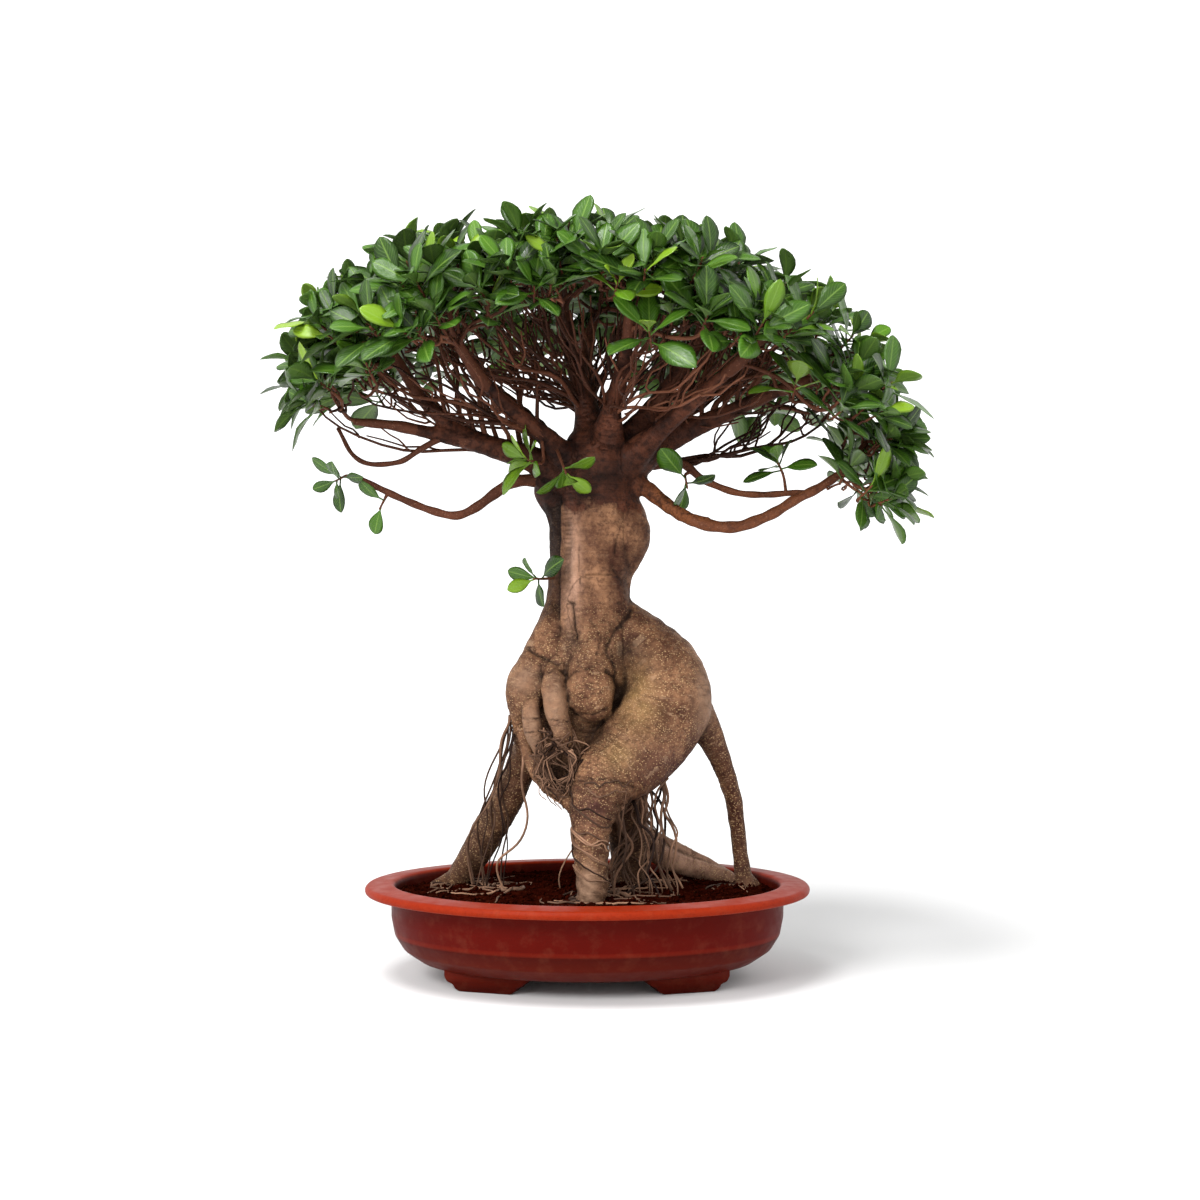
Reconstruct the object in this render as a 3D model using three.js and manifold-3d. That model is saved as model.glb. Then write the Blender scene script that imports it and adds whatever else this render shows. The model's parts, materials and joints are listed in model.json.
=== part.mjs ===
// A ginseng ficus: a grafted fig with swollen roots, standing on its root legs in a shallow oval pot.
// Millimetres, +Z up, the front faces -Y. The origin is on the ground, below the middle of the whole plant.

import * as THREE from "three";
import { mergeVertices } from "three/addons/utils/BufferGeometryUtils.js";
import Module from "manifold-3d";

const wasm = await Module();
wasm.setup();

// Clearance left between two pieces that touch, and the shortest edge kept after a join.
const GAP = 0.3;
const FINEST = 0.1;

// The pot. Its outline at any height is an ellipse whose two half axes differ by the same amount.
const POT_X = -13;
const POT_HALF_LENGTH = 203;
const POT_HALF_DEPTH = 149;
const POT_SEGMENTS = 24;
const WALL = 5;
const RIM_REACH = 27;
const RIM_TOP = 98.5;
const RIM_LIP_LOW = 88.5;
const FOOT_HEIGHT = 14;
const FLOOR_TOP = FOOT_HEIGHT + WALL;
const FLOOR_HALF_LENGTH = 152;
const FOOT_X = 98;
const FOOT_Y = 68;
const FOOT_TURN = 0.3;
const FOOT_THICK = 30;
const DRAIN_X = 75;
const DRAIN_RADIUS = 9;

// The soil, a low mound in the pot.
const SOIL_EDGE = 88;
const SOIL_TOP = 94;
const SOIL_ROUGHNESS = 1.6;

// The crown: an egg-shaped dome that hangs lower on the right than on the left.
const CROWN_BASE = 592;
const CROWN_HALF_WIDTH = 290;
const CROWN_HALF_DEPTH = 208;
const CROWN_HEIGHT = 156;
const CROWN_SQUARENESS = 0.8;
const CROWN_DROOP = 0.2;
const CROWN_EDGE = { right: -0.22, left: -0.08, front: 0.38, back: 0.45 };
const CROWN_ROOT = [-2, 0, 530];
const SHOOTS = 48;
const GOLDEN_ANGLE = Math.PI * (3 - Math.sqrt(5));

// Twigs follow one rule: a short twig on a short way back to the trunk.
const TWIG_BALANCE = 0.45;
const TWIG_SIDES = 3;
const TWIG_STEPS = 2;
const TWIG_RADIUS = 1.7;

// Leaves.
const LEAVES_PER_SHOOT = 6;
const LEAF_LENGTH = 45;
const LEAF_WIDTH = 27;
const LEAF_THICK = 2.2;
const LEAF_SIDES = 6;
const LEAF_FOLD = 0.22;
const PETIOLE = 13;
const CORE_RADIUS = 3.4;
const CORE_LENGTH = 24;
const LEAF_CLEARANCE = 0.7;

const barkMaterial = new THREE.MeshStandardMaterial({ name: "bark", color: 0x8a6248, roughness: 0.75 });
const potMaterial = new THREE.MeshStandardMaterial({ name: "terracotta", color: 0xa8381f, roughness: 0.42 });
const soilMaterial = new THREE.MeshStandardMaterial({ name: "soil", color: 0x2e1a12, roughness: 0.95 });
const leafMaterial = new THREE.MeshStandardMaterial({ name: "leaf", color: 0x3c7a2a, roughness: 0.35 });
const youngMaterial = new THREE.MeshStandardMaterial({ name: "young_leaf", color: 0x7fb03a, roughness: 0.4 });

// The root legs, the trunk and what bulges from it: stations [x, y, z, radius] from the top down.
const ROOTSTOCK = {
  trunk: [
    [-3, 2, 560, 30], [-3, 0, 535, 40], [-2, 0, 510, 38], [-1, 0, 445, 36.5], [-4, 0, 398, 35],
    [-4, 0, 365, 39], [-6, 0, 335, 44], [-12, 8, 298, 42], [-16, 22, 256, 44], [-13, 28, 218, 42],
    [-6, 28, 186, 30],
  ],
  rear_trunk: [
    [-46, 12, 535, 14], [-52, 14, 505, 18], [-40, 12, 478, 16], [-36, 12, 431, 16], [-38, 9, 385, 19],
    [-46, 4, 350, 26], [-56, 0, 318, 30],
  ],
  thigh: [
    [2, 4, 398, 14], [24, 2, 362, 31], [42, 0, 340, 38], [62, -3, 314, 44], [67, -6, 284, 48],
    [50, -14, 252, 46], [30, -28, 229, 43], [8, -42, 209, 35], [-3, -52, 189, 27], [-7, -58, 170, 22],
    [-9, -63, 150, 19], [-9, -67, 126, 17], [-8, -69, 106, 17], [-10, -71, 88, 14.5], [-10, -71, 66, 11],
  ],
  trunk_side: [
    [6, 0, 512, 22], [14, 0, 492, 26], [22, -2, 472, 27], [27, -2, 455, 25.5], [21, 0, 438, 23],
    [8, 0, 418, 22],
  ],
  trunk_front: [
    [-2, -2, 420, 33], [-4, -8, 385, 32], [-6, -16, 350, 28], [-8, -22, 325, 22], [-9, -33, 300, 26],
    [-9, -32, 282, 21], [-11, -26, 270, 9],
  ],
  left_shoulder: [
    [-48, 0, 345, 20], [-62, -4, 322, 24], [-73, -8, 302, 24.5], [-79, -8, 284, 19], [-84, -5, 268, 9],
    [-85, -2, 256, 5.5], [-83, 4, 240, 7], [-80, 12, 222, 8],
  ],
  left_leg: [
    [-40, 20, 282, 22], [-60, 20, 254, 20], [-76, 18, 230, 17], [-85, 22, 208, 15.5], [-98, 30, 180, 17],
    [-115, 38, 151, 17], [-130, 45, 124, 16], [-146, 51, 101, 14.5], [-158, 54, 84, 11], [-166, 56, 68, 6],
  ],
  right_leg: [
    [84, 0, 290, 26], [103, 5, 266, 19], [117, 12, 243, 14], [130, 22, 213, 11], [140, 30, 183, 9.6],
    [145, 36, 151, 8.8], [148, 40, 123, 8.2], [151, 42, 100, 9.6], [154, 42, 84, 12], [154, 40, 68, 7],
  ],
  rear_leg: [
    [8, 18, 205, 34], [22, 24, 178, 27], [30, 33, 150, 22], [32, 40, 118, 20], [32, 44, 92, 17],
    [32, 46, 66, 12],
  ],
  rear_root: [
    [26, 34, 158, 14], [42, 50, 134, 12.5], [62, 66, 117, 11.5], [86, 78, 105, 11], [110, 82, 97, 10.5],
    [138, 72, 90, 9], [150, 64, 80, 5],
  ],
  outer_root: [
    [30, 42, 152, 10], [54, 68, 136, 8], [86, 86, 119, 7.2], [116, 88, 104, 7], [136, 78, 93, 6],
    [146, 70, 82, 4],
  ],
  long_finger: [
    [-46, -28, 322, 8], [-48, -39, 304, 12], [-45, -43, 281, 12.4], [-38, -43, 258, 11], [-32, -41, 245, 7],
    [-30, -40, 241, 4],
  ],
  short_finger: [
    [-66, -20, 292, 6], [-70, -30, 278, 9.6], [-68, -32, 258, 10], [-63, -30, 239, 7], [-59, -27, 224, 4],
  ],
  cross_root: [
    [-82, -8, 262, 5], [-77, -14, 240, 6], [-66, -20, 212, 6.5], [-50, -26, 196, 7], [-34, -34, 186, 7],
    [-22, -46, 172, 6],
  ],
  inner_root: [[-48, 8, 252, 15], [-52, 4, 228, 17], [-45, 2, 210, 15], [-32, 4, 197, 13], [-18, 8, 188, 11]],
  left_toe: [[-150, 50, 97, 9], [-166, 52, 92.5, 6], [-182, 52, 86, 3]],
  right_toe: [[154, 44, 95, 8], [163, 45, 91, 5], [170, 44, 85, 2.5]],
};

// Round swellings: centre and half sizes.
const BULGES = {
  upper_knob: [[-52, 8, 503], [15, 14, 17]],
  chest: [[-38, -6, 328], [32, 27, 30]],
  knee: [[4, -44, 203], [31, 30, 24]],
};

// Hanging and wrapping rootlets: points from the wood down to the soil.
const ROOTLETS = [
  [[18, -46, 205], [23, -52, 175], [26, -50, 148], [23, -48, 122], [34, -42, 98], [36, -40, 80]],
  [
    [42, -10, 205], [62, -14, 182], [68, -16, 155], [65, -22, 132], [48, -30, 106], [24, -36, 88],
    [20, -38, 76],
  ],
  [[12, -52, 190], [24, -44, 160], [32, -36, 136], [16, -38, 108], [14, -40, 80]],
  [[34, 0, 198], [40, 6, 165], [52, 8, 140], [62, 2, 112], [74, -6, 82]],
  [
    [-88, -6, 272], [-101, -8, 246], [-103, -6, 216], [-115, 0, 184], [-134, 12, 150], [-138, 24, 118],
    [-132, 30, 78],
  ],
  [
    [-77, -14, 240], [-80, -8, 200], [-76, -4, 165], [-84, 2, 140], [-106, 8, 118], [-104, 10, 96],
    [-92, 4, 76],
  ],
];
const ROOTLET_RADIUS = 1.6;

// The grafted boughs, from the trunk's head outward.
const BOUGHS = {
  left: [
    [-18, 0, 515, 24], [-55, -5, 530, 15], [-88, -12, 541, 13], [-117, -18, 549, 11], [-148, -23, 556, 9],
    [-180, -28, 562, 7], [-213, -32, 568, 5.5], [-250, -32, 572, 4],
  ],
  left_upper: [
    [-105, -16, 545, 10], [-150, -24, 567, 8], [-182, -32, 596, 7], [-204, -40, 630, 5.5],
    [-220, -44, 656, 4],
  ],
  left_front: [
    [-20, -8, 520, 20], [-48, -30, 550, 10.5], [-84, -60, 578, 8.5], [-116, -92, 608, 6.5],
    [-138, -114, 640, 4.5],
  ],
  left_rear: [
    [-20, 12, 525, 18], [-52, 44, 560, 10], [-98, 84, 602, 8], [-140, 108, 642, 5.5], [-160, 118, 674, 4],
  ],
  middle_rear: [
    [-4, 8, 535, 22], [-10, 34, 586, 10.5], [-14, 70, 636, 8], [-10, 104, 678, 5.5], [-4, 118, 704, 4],
  ],
  middle: [
    [-4, 0, 540, 24], [-16, -8, 594, 11], [-30, -10, 646, 8.5], [-38, -6, 692, 6], [-40, -4, 720, 4],
  ],
  middle_front: [
    [4, -8, 535, 22], [12, -42, 583, 10.5], [24, -82, 628, 8], [28, -116, 664, 5.5], [28, -130, 684, 4],
  ],
  right_upper: [
    [14, 0, 535, 20], [52, -6, 584, 10.5], [86, -14, 632, 8], [112, -18, 674, 5.5], [122, -18, 698, 4],
  ],
  right_front: [
    [18, -8, 522, 20], [60, -38, 562, 10.5], [104, -74, 598, 8], [142, -104, 630, 6], [166, -118, 654, 4],
  ],
  right: [
    [20, 0, 520, 22], [66, -6, 552, 13], [116, -14, 576, 10], [172, -22, 600, 7.5], [222, -26, 616, 5.5],
    [252, -26, 622, 4],
  ],
  right_rear: [
    [16, 12, 528, 18], [58, 48, 568, 10], [108, 84, 604, 8], [156, 108, 636, 5.5], [184, 116, 658, 4],
  ],
  low_right: [
    [22, -4, 510, 15], [44, -10, 507, 10], [62, -16, 493, 8.4], [81, -22, 479, 7.4], [101, -26, 470, 6.8],
    [121, -28, 466, 6.4], [141, -30, 466, 6.2], [161, -30, 472, 6], [178, -30, 479, 5.7],
    [198, -30, 491, 5.4], [226, -30, 506, 5], [252, -28, 526, 4.2], [272, -24, 552, 3],
  ],
  low_right_rear: [
    [38, 14, 530, 8], [84, 14, 532, 4.6], [106, 10, 516, 4], [124, 6, 508, 3.7], [145, 0, 501, 3.5],
    [170, -8, 498, 3.4], [198, -18, 500, 3.2], [214, -24, 500, 3],
  ],
  low_left: [
    [-40, 0, 512, 12], [-70, -4, 514, 6.6], [-90, -10, 511, 5.8], [-107, -14, 499, 5.2],
    [-125, -18, 486, 4.6], [-146, -22, 478, 4.2], [-171, -26, 482, 3.8], [-199, -30, 492, 3.5],
    [-224, -34, 504, 3.2], [-246, -38, 515, 2.8],
  ],
  low_left_rear: [
    [-162, -26, 556, 4], [-183, -28, 544, 3], [-206, -28, 530, 2.8], [-232, -26, 529, 2.6],
    [-254, -24, 541, 2.4], [-268, -20, 566, 2.2],
  ],
};

// Small leafy shoots away from the crown: where they start, their aim, leaf count and share of full size.
const SIDE_SHOOTS = [
  { name: "low_left_end", at: [-258, -42, 516], aim: [-0.7, -0.7, -0.2], leaves: 5, size: 0.62 },
  { name: "low_left_leaf", at: [-218, -36, 494], aim: [-0.35, -0.5, -0.8], leaves: 2, size: 0.6 },
  { name: "trunk_front", at: [-64, -56, 524], aim: [-0.5, -0.6, 0.5], leaves: 6, size: 0.76, young: true },
  { name: "trunk_front_low", at: [-34, -56, 508], aim: [0.1, -0.8, -0.1], leaves: 5, size: 0.7, young: true },
  { name: "trunk_left", at: [-62, -6, 414], aim: [-0.7, -0.7, 0.2], leaves: 4, size: 0.72 },
  { name: "hanging_right", at: [88, 0, 518], aim: [0.1, -0.4, -1], leaves: 3, size: 0.72 },
  { name: "low_right_inner", at: [186, -26, 520], aim: [-0.4, -0.5, 0.8], leaves: 4, size: 0.7 },
  { name: "low_right_end", at: [282, -36, 552], aim: [0.8, -0.5, 0.1], leaves: 6, size: 0.9 },
  { name: "low_right_tip", at: [256, -42, 504], aim: [0.7, -0.5, -0.5], leaves: 5, size: 0.85 },
];

// A repeatable draw from 0 to 1 for a whole number.
function draw(n) {
  const s = Math.sin((n + 1) * 127.1) * 43758.5453;
  return s - Math.floor(s);
}

function vector([x, y, z]) {
  return new THREE.Vector3(x, y, z);
}

// A closed geometry as a solid that can be joined and cut.
function solid(geometry) {
  geometry.deleteAttribute("normal");
  geometry.deleteAttribute("uv");
  const merged = mergeVertices(geometry, 1e-4);
  return new wasm.Manifold(
    new wasm.Mesh({
      numProp: 3,
      vertProperties: merged.getAttribute("position").array,
      triVerts: new Uint32Array(merged.index.array),
    }),
  );
}

function join(solids) {
  return wasm.Manifold.union(solids);
}

// A body without slivers and without the sealed hollows that close between crossing limbs.
function cleaned(body) {
  return join(body.simplify(FINEST).decompose().filter((part) => part.volume() > 0));
}

function mesh(name, body, material) {
  const { numProp, vertProperties, triVerts } = body.getMesh();
  const geometry = new THREE.BufferGeometry();
  geometry.setAttribute("position", new THREE.BufferAttribute(vertProperties, numProp));
  geometry.setIndex(new THREE.BufferAttribute(triVerts, 1));
  geometry.computeVertexNormals();
  const made = new THREE.Mesh(geometry, material);
  made.name = name;
  return made;
}

// A tapering limb: a unit cylinder bent along a curve. Swell adds to its radius and its ends.
function bend(curve, radiusAt, sides, steps, swell = 0) {
  const frames = curve.computeFrenetFrames(steps, false);
  const geometry = new THREE.CylinderGeometry(1, 1, 1, sides, steps);
  const position = geometry.getAttribute("position");
  for (let i = 0; i < position.count; i++) {
    const step = Math.round((position.getY(i) + 0.5) * steps);
    const share = step / steps;
    const radius = radiusAt(share) + swell;
    const end = step === 0 ? -swell : step === steps ? swell : 0;
    const place = curve
      .getPointAt(share)
      .addScaledVector(frames.tangents[step], end)
      .addScaledVector(frames.normals[step], position.getX(i) * radius)
      .addScaledVector(frames.binormals[step], -position.getZ(i) * radius);
    position.setXYZ(i, place.x, place.y, place.z);
  }
  return solid(geometry);
}

function pathOf(stations) {
  return new THREE.CatmullRomCurve3(stations.map(vector), false, "centripetal");
}

// A limb through stations [x, y, z, radius].
function limb(stations, sides, steps, swell) {
  const curve = pathOf(stations);
  const radiusAt = (share) => {
    const place = curve.getUtoTmapping(share) * (stations.length - 1);
    const low = Math.min(Math.floor(place), stations.length - 2);
    return THREE.MathUtils.lerp(stations[low][3], stations[low + 1][3], place - low);
  };
  return bend(curve, radiusAt, sides, steps, swell);
}

function rootlet(points, swell) {
  const stations = points.map((point) => [...point, ROOTLET_RADIUS]);
  return limb(stations, 3, points.length, swell);
}

function bulge([centre, half]) {
  const geometry = new THREE.SphereGeometry(1, 8, 4);
  geometry.scale(...half);
  geometry.translate(...centre);
  return solid(geometry);
}

// A surface turned round the pot's middle and squeezed to its ellipse: points are [half length, height].
function potSurface(profile) {
  const points = profile.map(([r, z]) => new THREE.Vector2(r, z));
  const geometry = new THREE.LatheGeometry(points, POT_SEGMENTS);
  geometry.rotateX(Math.PI / 2);
  const position = geometry.getAttribute("position");
  const difference = POT_HALF_LENGTH - POT_HALF_DEPTH;
  for (let i = 0; i < position.count; i++) {
    const radius = Math.hypot(position.getX(i), position.getY(i));
    const squeeze = 1 - difference / Math.max(radius, FLOOR_HALF_LENGTH);
    position.setY(i, position.getY(i) * squeeze);
  }
  geometry.translate(POT_X, 0, 0);
  return geometry;
}

// The pot's hollow, taken in by an inset: the pot is cut by it at no inset, and the soil fills it.
function hollowProfile(inset, topPoints) {
  const inner = POT_HALF_LENGTH - WALL - inset;
  return [
    [0, FLOOR_TOP + inset],
    [FLOOR_HALF_LENGTH - 2 * WALL - inset, FLOOR_TOP + inset],
    [inner - 30, 25],
    [inner - 11, 41],
    [inner, SOIL_EDGE - 4],
    ...topPoints,
  ];
}

function pot() {
  const outer = potSurface([
    [0, FOOT_HEIGHT],
    [FLOOR_HALF_LENGTH, FOOT_HEIGHT],
    [172, 19],
    [190, 31.5],
    [199, 46],
    [POT_HALF_LENGTH - 0.5, 64],
    [POT_HALF_LENGTH, RIM_LIP_LOW + 1],
    [POT_HALF_LENGTH + RIM_REACH - 1, RIM_LIP_LOW],
    [POT_HALF_LENGTH + RIM_REACH, RIM_LIP_LOW + 5],
    [POT_HALF_LENGTH + RIM_REACH - 3, RIM_TOP - 1.5],
    [POT_HALF_LENGTH, RIM_TOP],
    [0, RIM_TOP],
  ]);
  const inner = POT_HALF_LENGTH - WALL;
  const rim = [
    [inner, RIM_TOP - 4],
    [inner + 3, RIM_TOP - 0.8],
    [inner + 4, RIM_TOP + 6],
    [0, RIM_TOP + 6],
  ];
  const hollow = potSurface(hollowProfile(0, rim));
  const feet = [];
  const drains = [];
  for (const side of [-1, 1]) {
    for (const face of [-1, 1]) {
      feet.push(foot(side, face));
    }
    const drain = new THREE.CylinderGeometry(DRAIN_RADIUS, DRAIN_RADIUS, 3 * WALL, 8);
    drain.rotateX(Math.PI / 2);
    drain.translate(POT_X + side * DRAIN_X, 0, FLOOR_TOP - WALL / 2);
    drains.push(solid(drain));
  }
  return join([solid(outer), ...feet]).subtract(join([solid(hollow), ...drains]));
}

// One foot: a bracket with stepped ends that follows the oval.
function foot(side, face) {
  const outline = new THREE.Shape();
  outline.moveTo(-27, 0);
  outline.lineTo(27, 0);
  outline.lineTo(32, 3);
  outline.lineTo(34, 7);
  outline.lineTo(40, 9);
  outline.lineTo(43, 14);
  outline.lineTo(43, 26);
  outline.lineTo(-43, 26);
  outline.lineTo(-43, 14);
  outline.lineTo(-40, 9);
  outline.lineTo(-34, 7);
  outline.lineTo(-32, 3);
  const geometry = new THREE.ExtrudeGeometry(outline, { depth: FOOT_THICK, bevelEnabled: false });
  geometry.translate(0, 0, -FOOT_THICK / 2);
  geometry.rotateX(Math.PI / 2);
  geometry.rotateZ(-side * face * FOOT_TURN);
  geometry.translate(POT_X + side * FOOT_X, face * FOOT_Y, 0);
  return solid(geometry);
}

// The soil, with a plain hole for every root that enters it.
function soil(holes) {
  const inner = POT_HALF_LENGTH - WALL - GAP;
  const rings = [inner, 105];
  const mound = potSurface(
    hollowProfile(GAP, [
      ...rings.map((r, i) => [r, THREE.MathUtils.lerp(SOIL_EDGE, SOIL_TOP, i / rings.length)]),
      [0, SOIL_TOP],
    ]),
  );
  const position = mound.getAttribute("position");
  for (let i = 0; i < position.count; i++) {
    const [x, y, z] = [position.getX(i), position.getY(i), position.getZ(i)];
    if (z > SOIL_EDGE - 1) {
      position.setZ(i, z + SOIL_ROUGHNESS * Math.sin(x * 0.11 + 2) * Math.cos(y * 0.13));
    }
  }
  return solid(mound).subtract(join(holes));
}

// Where the crown's shoots end: a golden-angle spiral from the dome's top to its edge.
function crownShoots() {
  const shoots = [];
  for (let i = 0; i < SHOOTS; i++) {
    const turn = i * GOLDEN_ANGLE;
    const [c, s] = [Math.cos(turn), Math.sin(turn)];
    const ends = c > 0 ? CROWN_EDGE.right : CROWN_EDGE.left;
    const edge = THREE.MathUtils.lerp(s < 0 ? CROWN_EDGE.front : CROWN_EDGE.back, ends, Math.abs(c));
    const rise = 1 - ((i + 0.5) / SHOOTS) * (1 - edge);
    const spread = Math.sqrt(1 - rise * rise) ** CROWN_SQUARENESS;
    const x = CROWN_HALF_WIDTH * spread * c;
    const y = CROWN_HALF_DEPTH * spread * s;
    const lift = Math.sign(rise) * Math.abs(rise) ** CROWN_SQUARENESS;
    const z = CROWN_BASE + CROWN_HEIGHT * lift - CROWN_DROOP * Math.max(0, x);
    const aim = new THREE.Vector3(x / CROWN_HALF_WIDTH, y / CROWN_HALF_DEPTH, 0.7 + rise).normalize();
    shoots.push({ name: `crown_${String(i + 1).padStart(2, "0")}`, at: new THREE.Vector3(x, y, z), aim });
  }
  return shoots;
}

// Points on the boughs that a twig may leave from, with the way back to the trunk's head.
function boughPoints() {
  const points = [];
  for (const stations of Object.values(BOUGHS)) {
    const curve = pathOf(stations);
    const start = vector(CROWN_ROOT).distanceTo(curve.getPoint(0));
    for (let i = 1; i <= stations.length; i++) {
      const share = (i - 0.2) / stations.length;
      const along = start + share * curve.getLength();
      points.push({ place: curve.getPointAt(share), heading: curve.getTangentAt(share), along, twig: null });
    }
  }
  return points;
}

// Joins each shoot to the wood by one twig, nearest shoots first, and adds the twig's own points to the wood.
function growTwigs(shoots) {
  const wood = boughPoints();
  const root = vector(CROWN_ROOT);
  const order = [...shoots].sort((a, b) => a.at.distanceTo(root) - b.at.distanceTo(root));
  for (const shoot of order) {
    let best = null;
    let least = Infinity;
    for (const point of wood) {
      const way = shoot.at.clone().sub(point.place);
      const backward = Math.max(0, 0.3 - way.clone().normalize().dot(point.heading));
      const cost = way.length() * (1 + 2 * backward) + TWIG_BALANCE * point.along;
      if (cost < least && way.length() > 18) {
        least = cost;
        best = point;
      }
    }
    const reach = shoot.at.distanceTo(best.place);
    shoot.curve = new THREE.CubicBezierCurve3(
      best.place,
      best.place.clone().addScaledVector(best.heading, reach * 0.35),
      shoot.at.clone().addScaledVector(shoot.aim, -reach * 0.3),
      shoot.at,
    );
    shoot.parent = best.twig;
    shoot.load = 0;
    for (let twig = shoot; twig; twig = twig.parent) {
      twig.load += 1;
    }
    for (let i = 1; i < TWIG_STEPS; i++) {
      const share = i / TWIG_STEPS;
      const place = shoot.curve.getPointAt(share);
      const heading = shoot.curve.getTangentAt(share);
      wood.push({ place, heading, along: best.along + reach * share, twig: shoot });
    }
  }
}

function twig(shoot) {
  const base = TWIG_RADIUS * Math.sqrt(shoot.load + 0.6);
  const radiusAt = (share) => THREE.MathUtils.lerp(base, TWIG_RADIUS, share);
  return bend(shoot.curve, radiusAt, TWIG_SIDES, TWIG_STEPS);
}

// The middle of the limb that lies nearest to a point.
function nearestWood(place) {
  const limbs = [...Object.values(BOUGHS), ROOTSTOCK.trunk, ROOTSTOCK.rear_trunk];
  const points = limbs.flatMap((stations) => pathOf(stations).getSpacedPoints(stations.length));
  points.sort((a, b) => a.distanceTo(place) - b.distanceTo(place));
  return points[0];
}

function sideTwig({ at, aim }) {
  const end = vector(at);
  const start = nearestWood(end);
  const reach = start.distanceTo(end);
  const curve = new THREE.CubicBezierCurve3(
    start,
    start.clone().lerp(end, 0.33),
    end.clone().addScaledVector(vector(aim).normalize(), -reach * 0.33),
    end,
  );
  return bend(curve, () => TWIG_RADIUS, TWIG_SIDES, TWIG_STEPS);
}

// One leaf blade along +X from its petiole: a flat ball of six sides drawn out to an obovate outline.
function blade(length, width, thick, arch) {
  const geometry = new THREE.SphereGeometry(1, LEAF_SIDES, 2);
  const position = geometry.getAttribute("position");
  for (let i = 0; i < position.count; i++) {
    const [x, y, z] = [position.getX(i), position.getY(i), position.getZ(i)];
    const share = (x + 1) / 2;
    const across = -0.58 * width * z * (1 + 0.4 * x);
    const along = share < 0.01 ? -PETIOLE : share * length;
    const height = (y * thick) / 2 + LEAF_FOLD * Math.abs(across) - arch * length * share * share;
    position.setXYZ(i, along, across, height);
  }
  geometry.translate(PETIOLE, 0, 0);
  return geometry;
}

// The frame of a leaf on a shoot: its length runs outward and its upper face looks along the shoot.
function leafFrame(at, aim, turn, lean, height) {
  const side = new THREE.Vector3(0, 0, 1).cross(aim);
  if (side.length() < 0.1) {
    side.set(1, 0, 0);
  }
  side.normalize();
  const other = aim.clone().cross(side);
  const outward = side.multiplyScalar(Math.cos(turn)).addScaledVector(other, Math.sin(turn));
  const length = outward.clone().multiplyScalar(Math.sin(lean));
  length.addScaledVector(aim, Math.cos(lean)).normalize();
  const up = aim.clone().addScaledVector(length, -aim.dot(length)).normalize();
  const across = up.clone().cross(length);
  const frame = new THREE.Matrix4().makeBasis(length, across, up);
  return frame.setPosition(at.clone().addScaledVector(aim, height).addScaledVector(length, -0.5));
}

// A leafy shoot: a short core with a whorl of leaves, each kept clear of the pieces that stand near it.
function leafyShoot(shoot, index, neighbours) {
  const size = shoot.size ?? 1;
  const count = shoot.leaves ?? LEAVES_PER_SHOOT;
  const start = shoot.at.clone().addScaledVector(shoot.aim, GAP);
  const coreLength = CORE_LENGTH * size;
  const coreCurve = new THREE.LineCurve3(start, start.clone().addScaledVector(shoot.aim, coreLength));
  const core = bend(coreCurve, (share) => THREE.MathUtils.lerp(CORE_RADIUS * size, 1, share), 3, 1);
  const parts = [core];
  for (let k = 0; k < count; k++) {
    const age = 1 - k / count;
    const length = LEAF_LENGTH * size * (0.72 + 0.28 * age) * (0.9 + 0.2 * draw(index * 31 + k));
    const width = (LEAF_WIDTH * length) / LEAF_LENGTH;
    const arch = 0.1 + 0.18 * draw(index * 31 + k + 500);
    for (let attempt = 0; attempt < 4; attempt++) {
      const turn = k * GOLDEN_ANGLE + index * 1.7 + attempt * 0.5;
      const lean = THREE.MathUtils.lerp(0.65, 1.35, age) - attempt * 0.12;
      const frame = leafFrame(start, shoot.aim, turn, lean, coreLength * (0.2 + 0.7 * (1 - age)));
      const sizes = [length, width, LEAF_THICK];
      const wider = sizes.map((side) => side + LEAF_CLEARANCE);
      const wide = solid(blade(...wider, arch).applyMatrix4(frame));
      if (neighbours.every((near) => wide.intersect(near).isEmpty())) {
        parts.push(solid(blade(...sizes, arch).applyMatrix4(frame)));
        break;
      }
    }
  }
  return cleaned(join(parts));
}

function build() {
  const group = new THREE.Group();
  const shoots = crownShoots();
  growTwigs(shoots);
  const rootLimbs = Object.entries(ROOTSTOCK);
  const sidesOf = (stations) => (Math.max(...stations.map((s) => s[3])) > 20 ? 8 : 5);
  const stepsOf = (stations) => stations.length - 1;
  const boughs = Object.values(BOUGHS).map((s) => limb(s, 5, stepsOf(s)));
  const tree = cleaned(join([
    ...rootLimbs.map(([, s]) => limb(s, sidesOf(s), stepsOf(s))),
    ...Object.values(BULGES).map(bulge),
    ...ROOTLETS.map((points) => rootlet(points)),
    ...boughs,
    ...shoots.map(twig),
    ...SIDE_SHOOTS.map(sideTwig),
  ]));
  group.add(mesh("pot", pot(), potMaterial));
  const holes = [
    ...rootLimbs.map(([, s]) => limb(s, sidesOf(s), stepsOf(s), 1.4 * GAP)),
    ...ROOTLETS.map((points) => rootlet(points, 1.8 * GAP)),
  ];
  group.add(mesh("soil", soil(holes), soilMaterial));
  group.add(mesh("tree", tree, barkMaterial));
  const built = [tree];
  const sideShoots = SIDE_SHOOTS.map((s) => ({ ...s, at: vector(s.at), aim: vector(s.aim).normalize() }));
  [...sideShoots, ...shoots].forEach((shoot, index) => {
    const box = leafReach(shoot.at);
    const body = leafyShoot(shoot, index, built.filter((near) => box.intersectsBox(boxOf(near))));
    built.push(body);
    group.add(mesh(`leaves_${shoot.name}`, body, shoot.young ? youngMaterial : leafMaterial));
  });
  return group;
}

function leafReach(at) {
  const reach = LEAF_LENGTH * 1.3 + CORE_LENGTH + PETIOLE;
  return new THREE.Box3().setFromCenterAndSize(at, new THREE.Vector3(2, 2, 2).multiplyScalar(reach));
}

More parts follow.
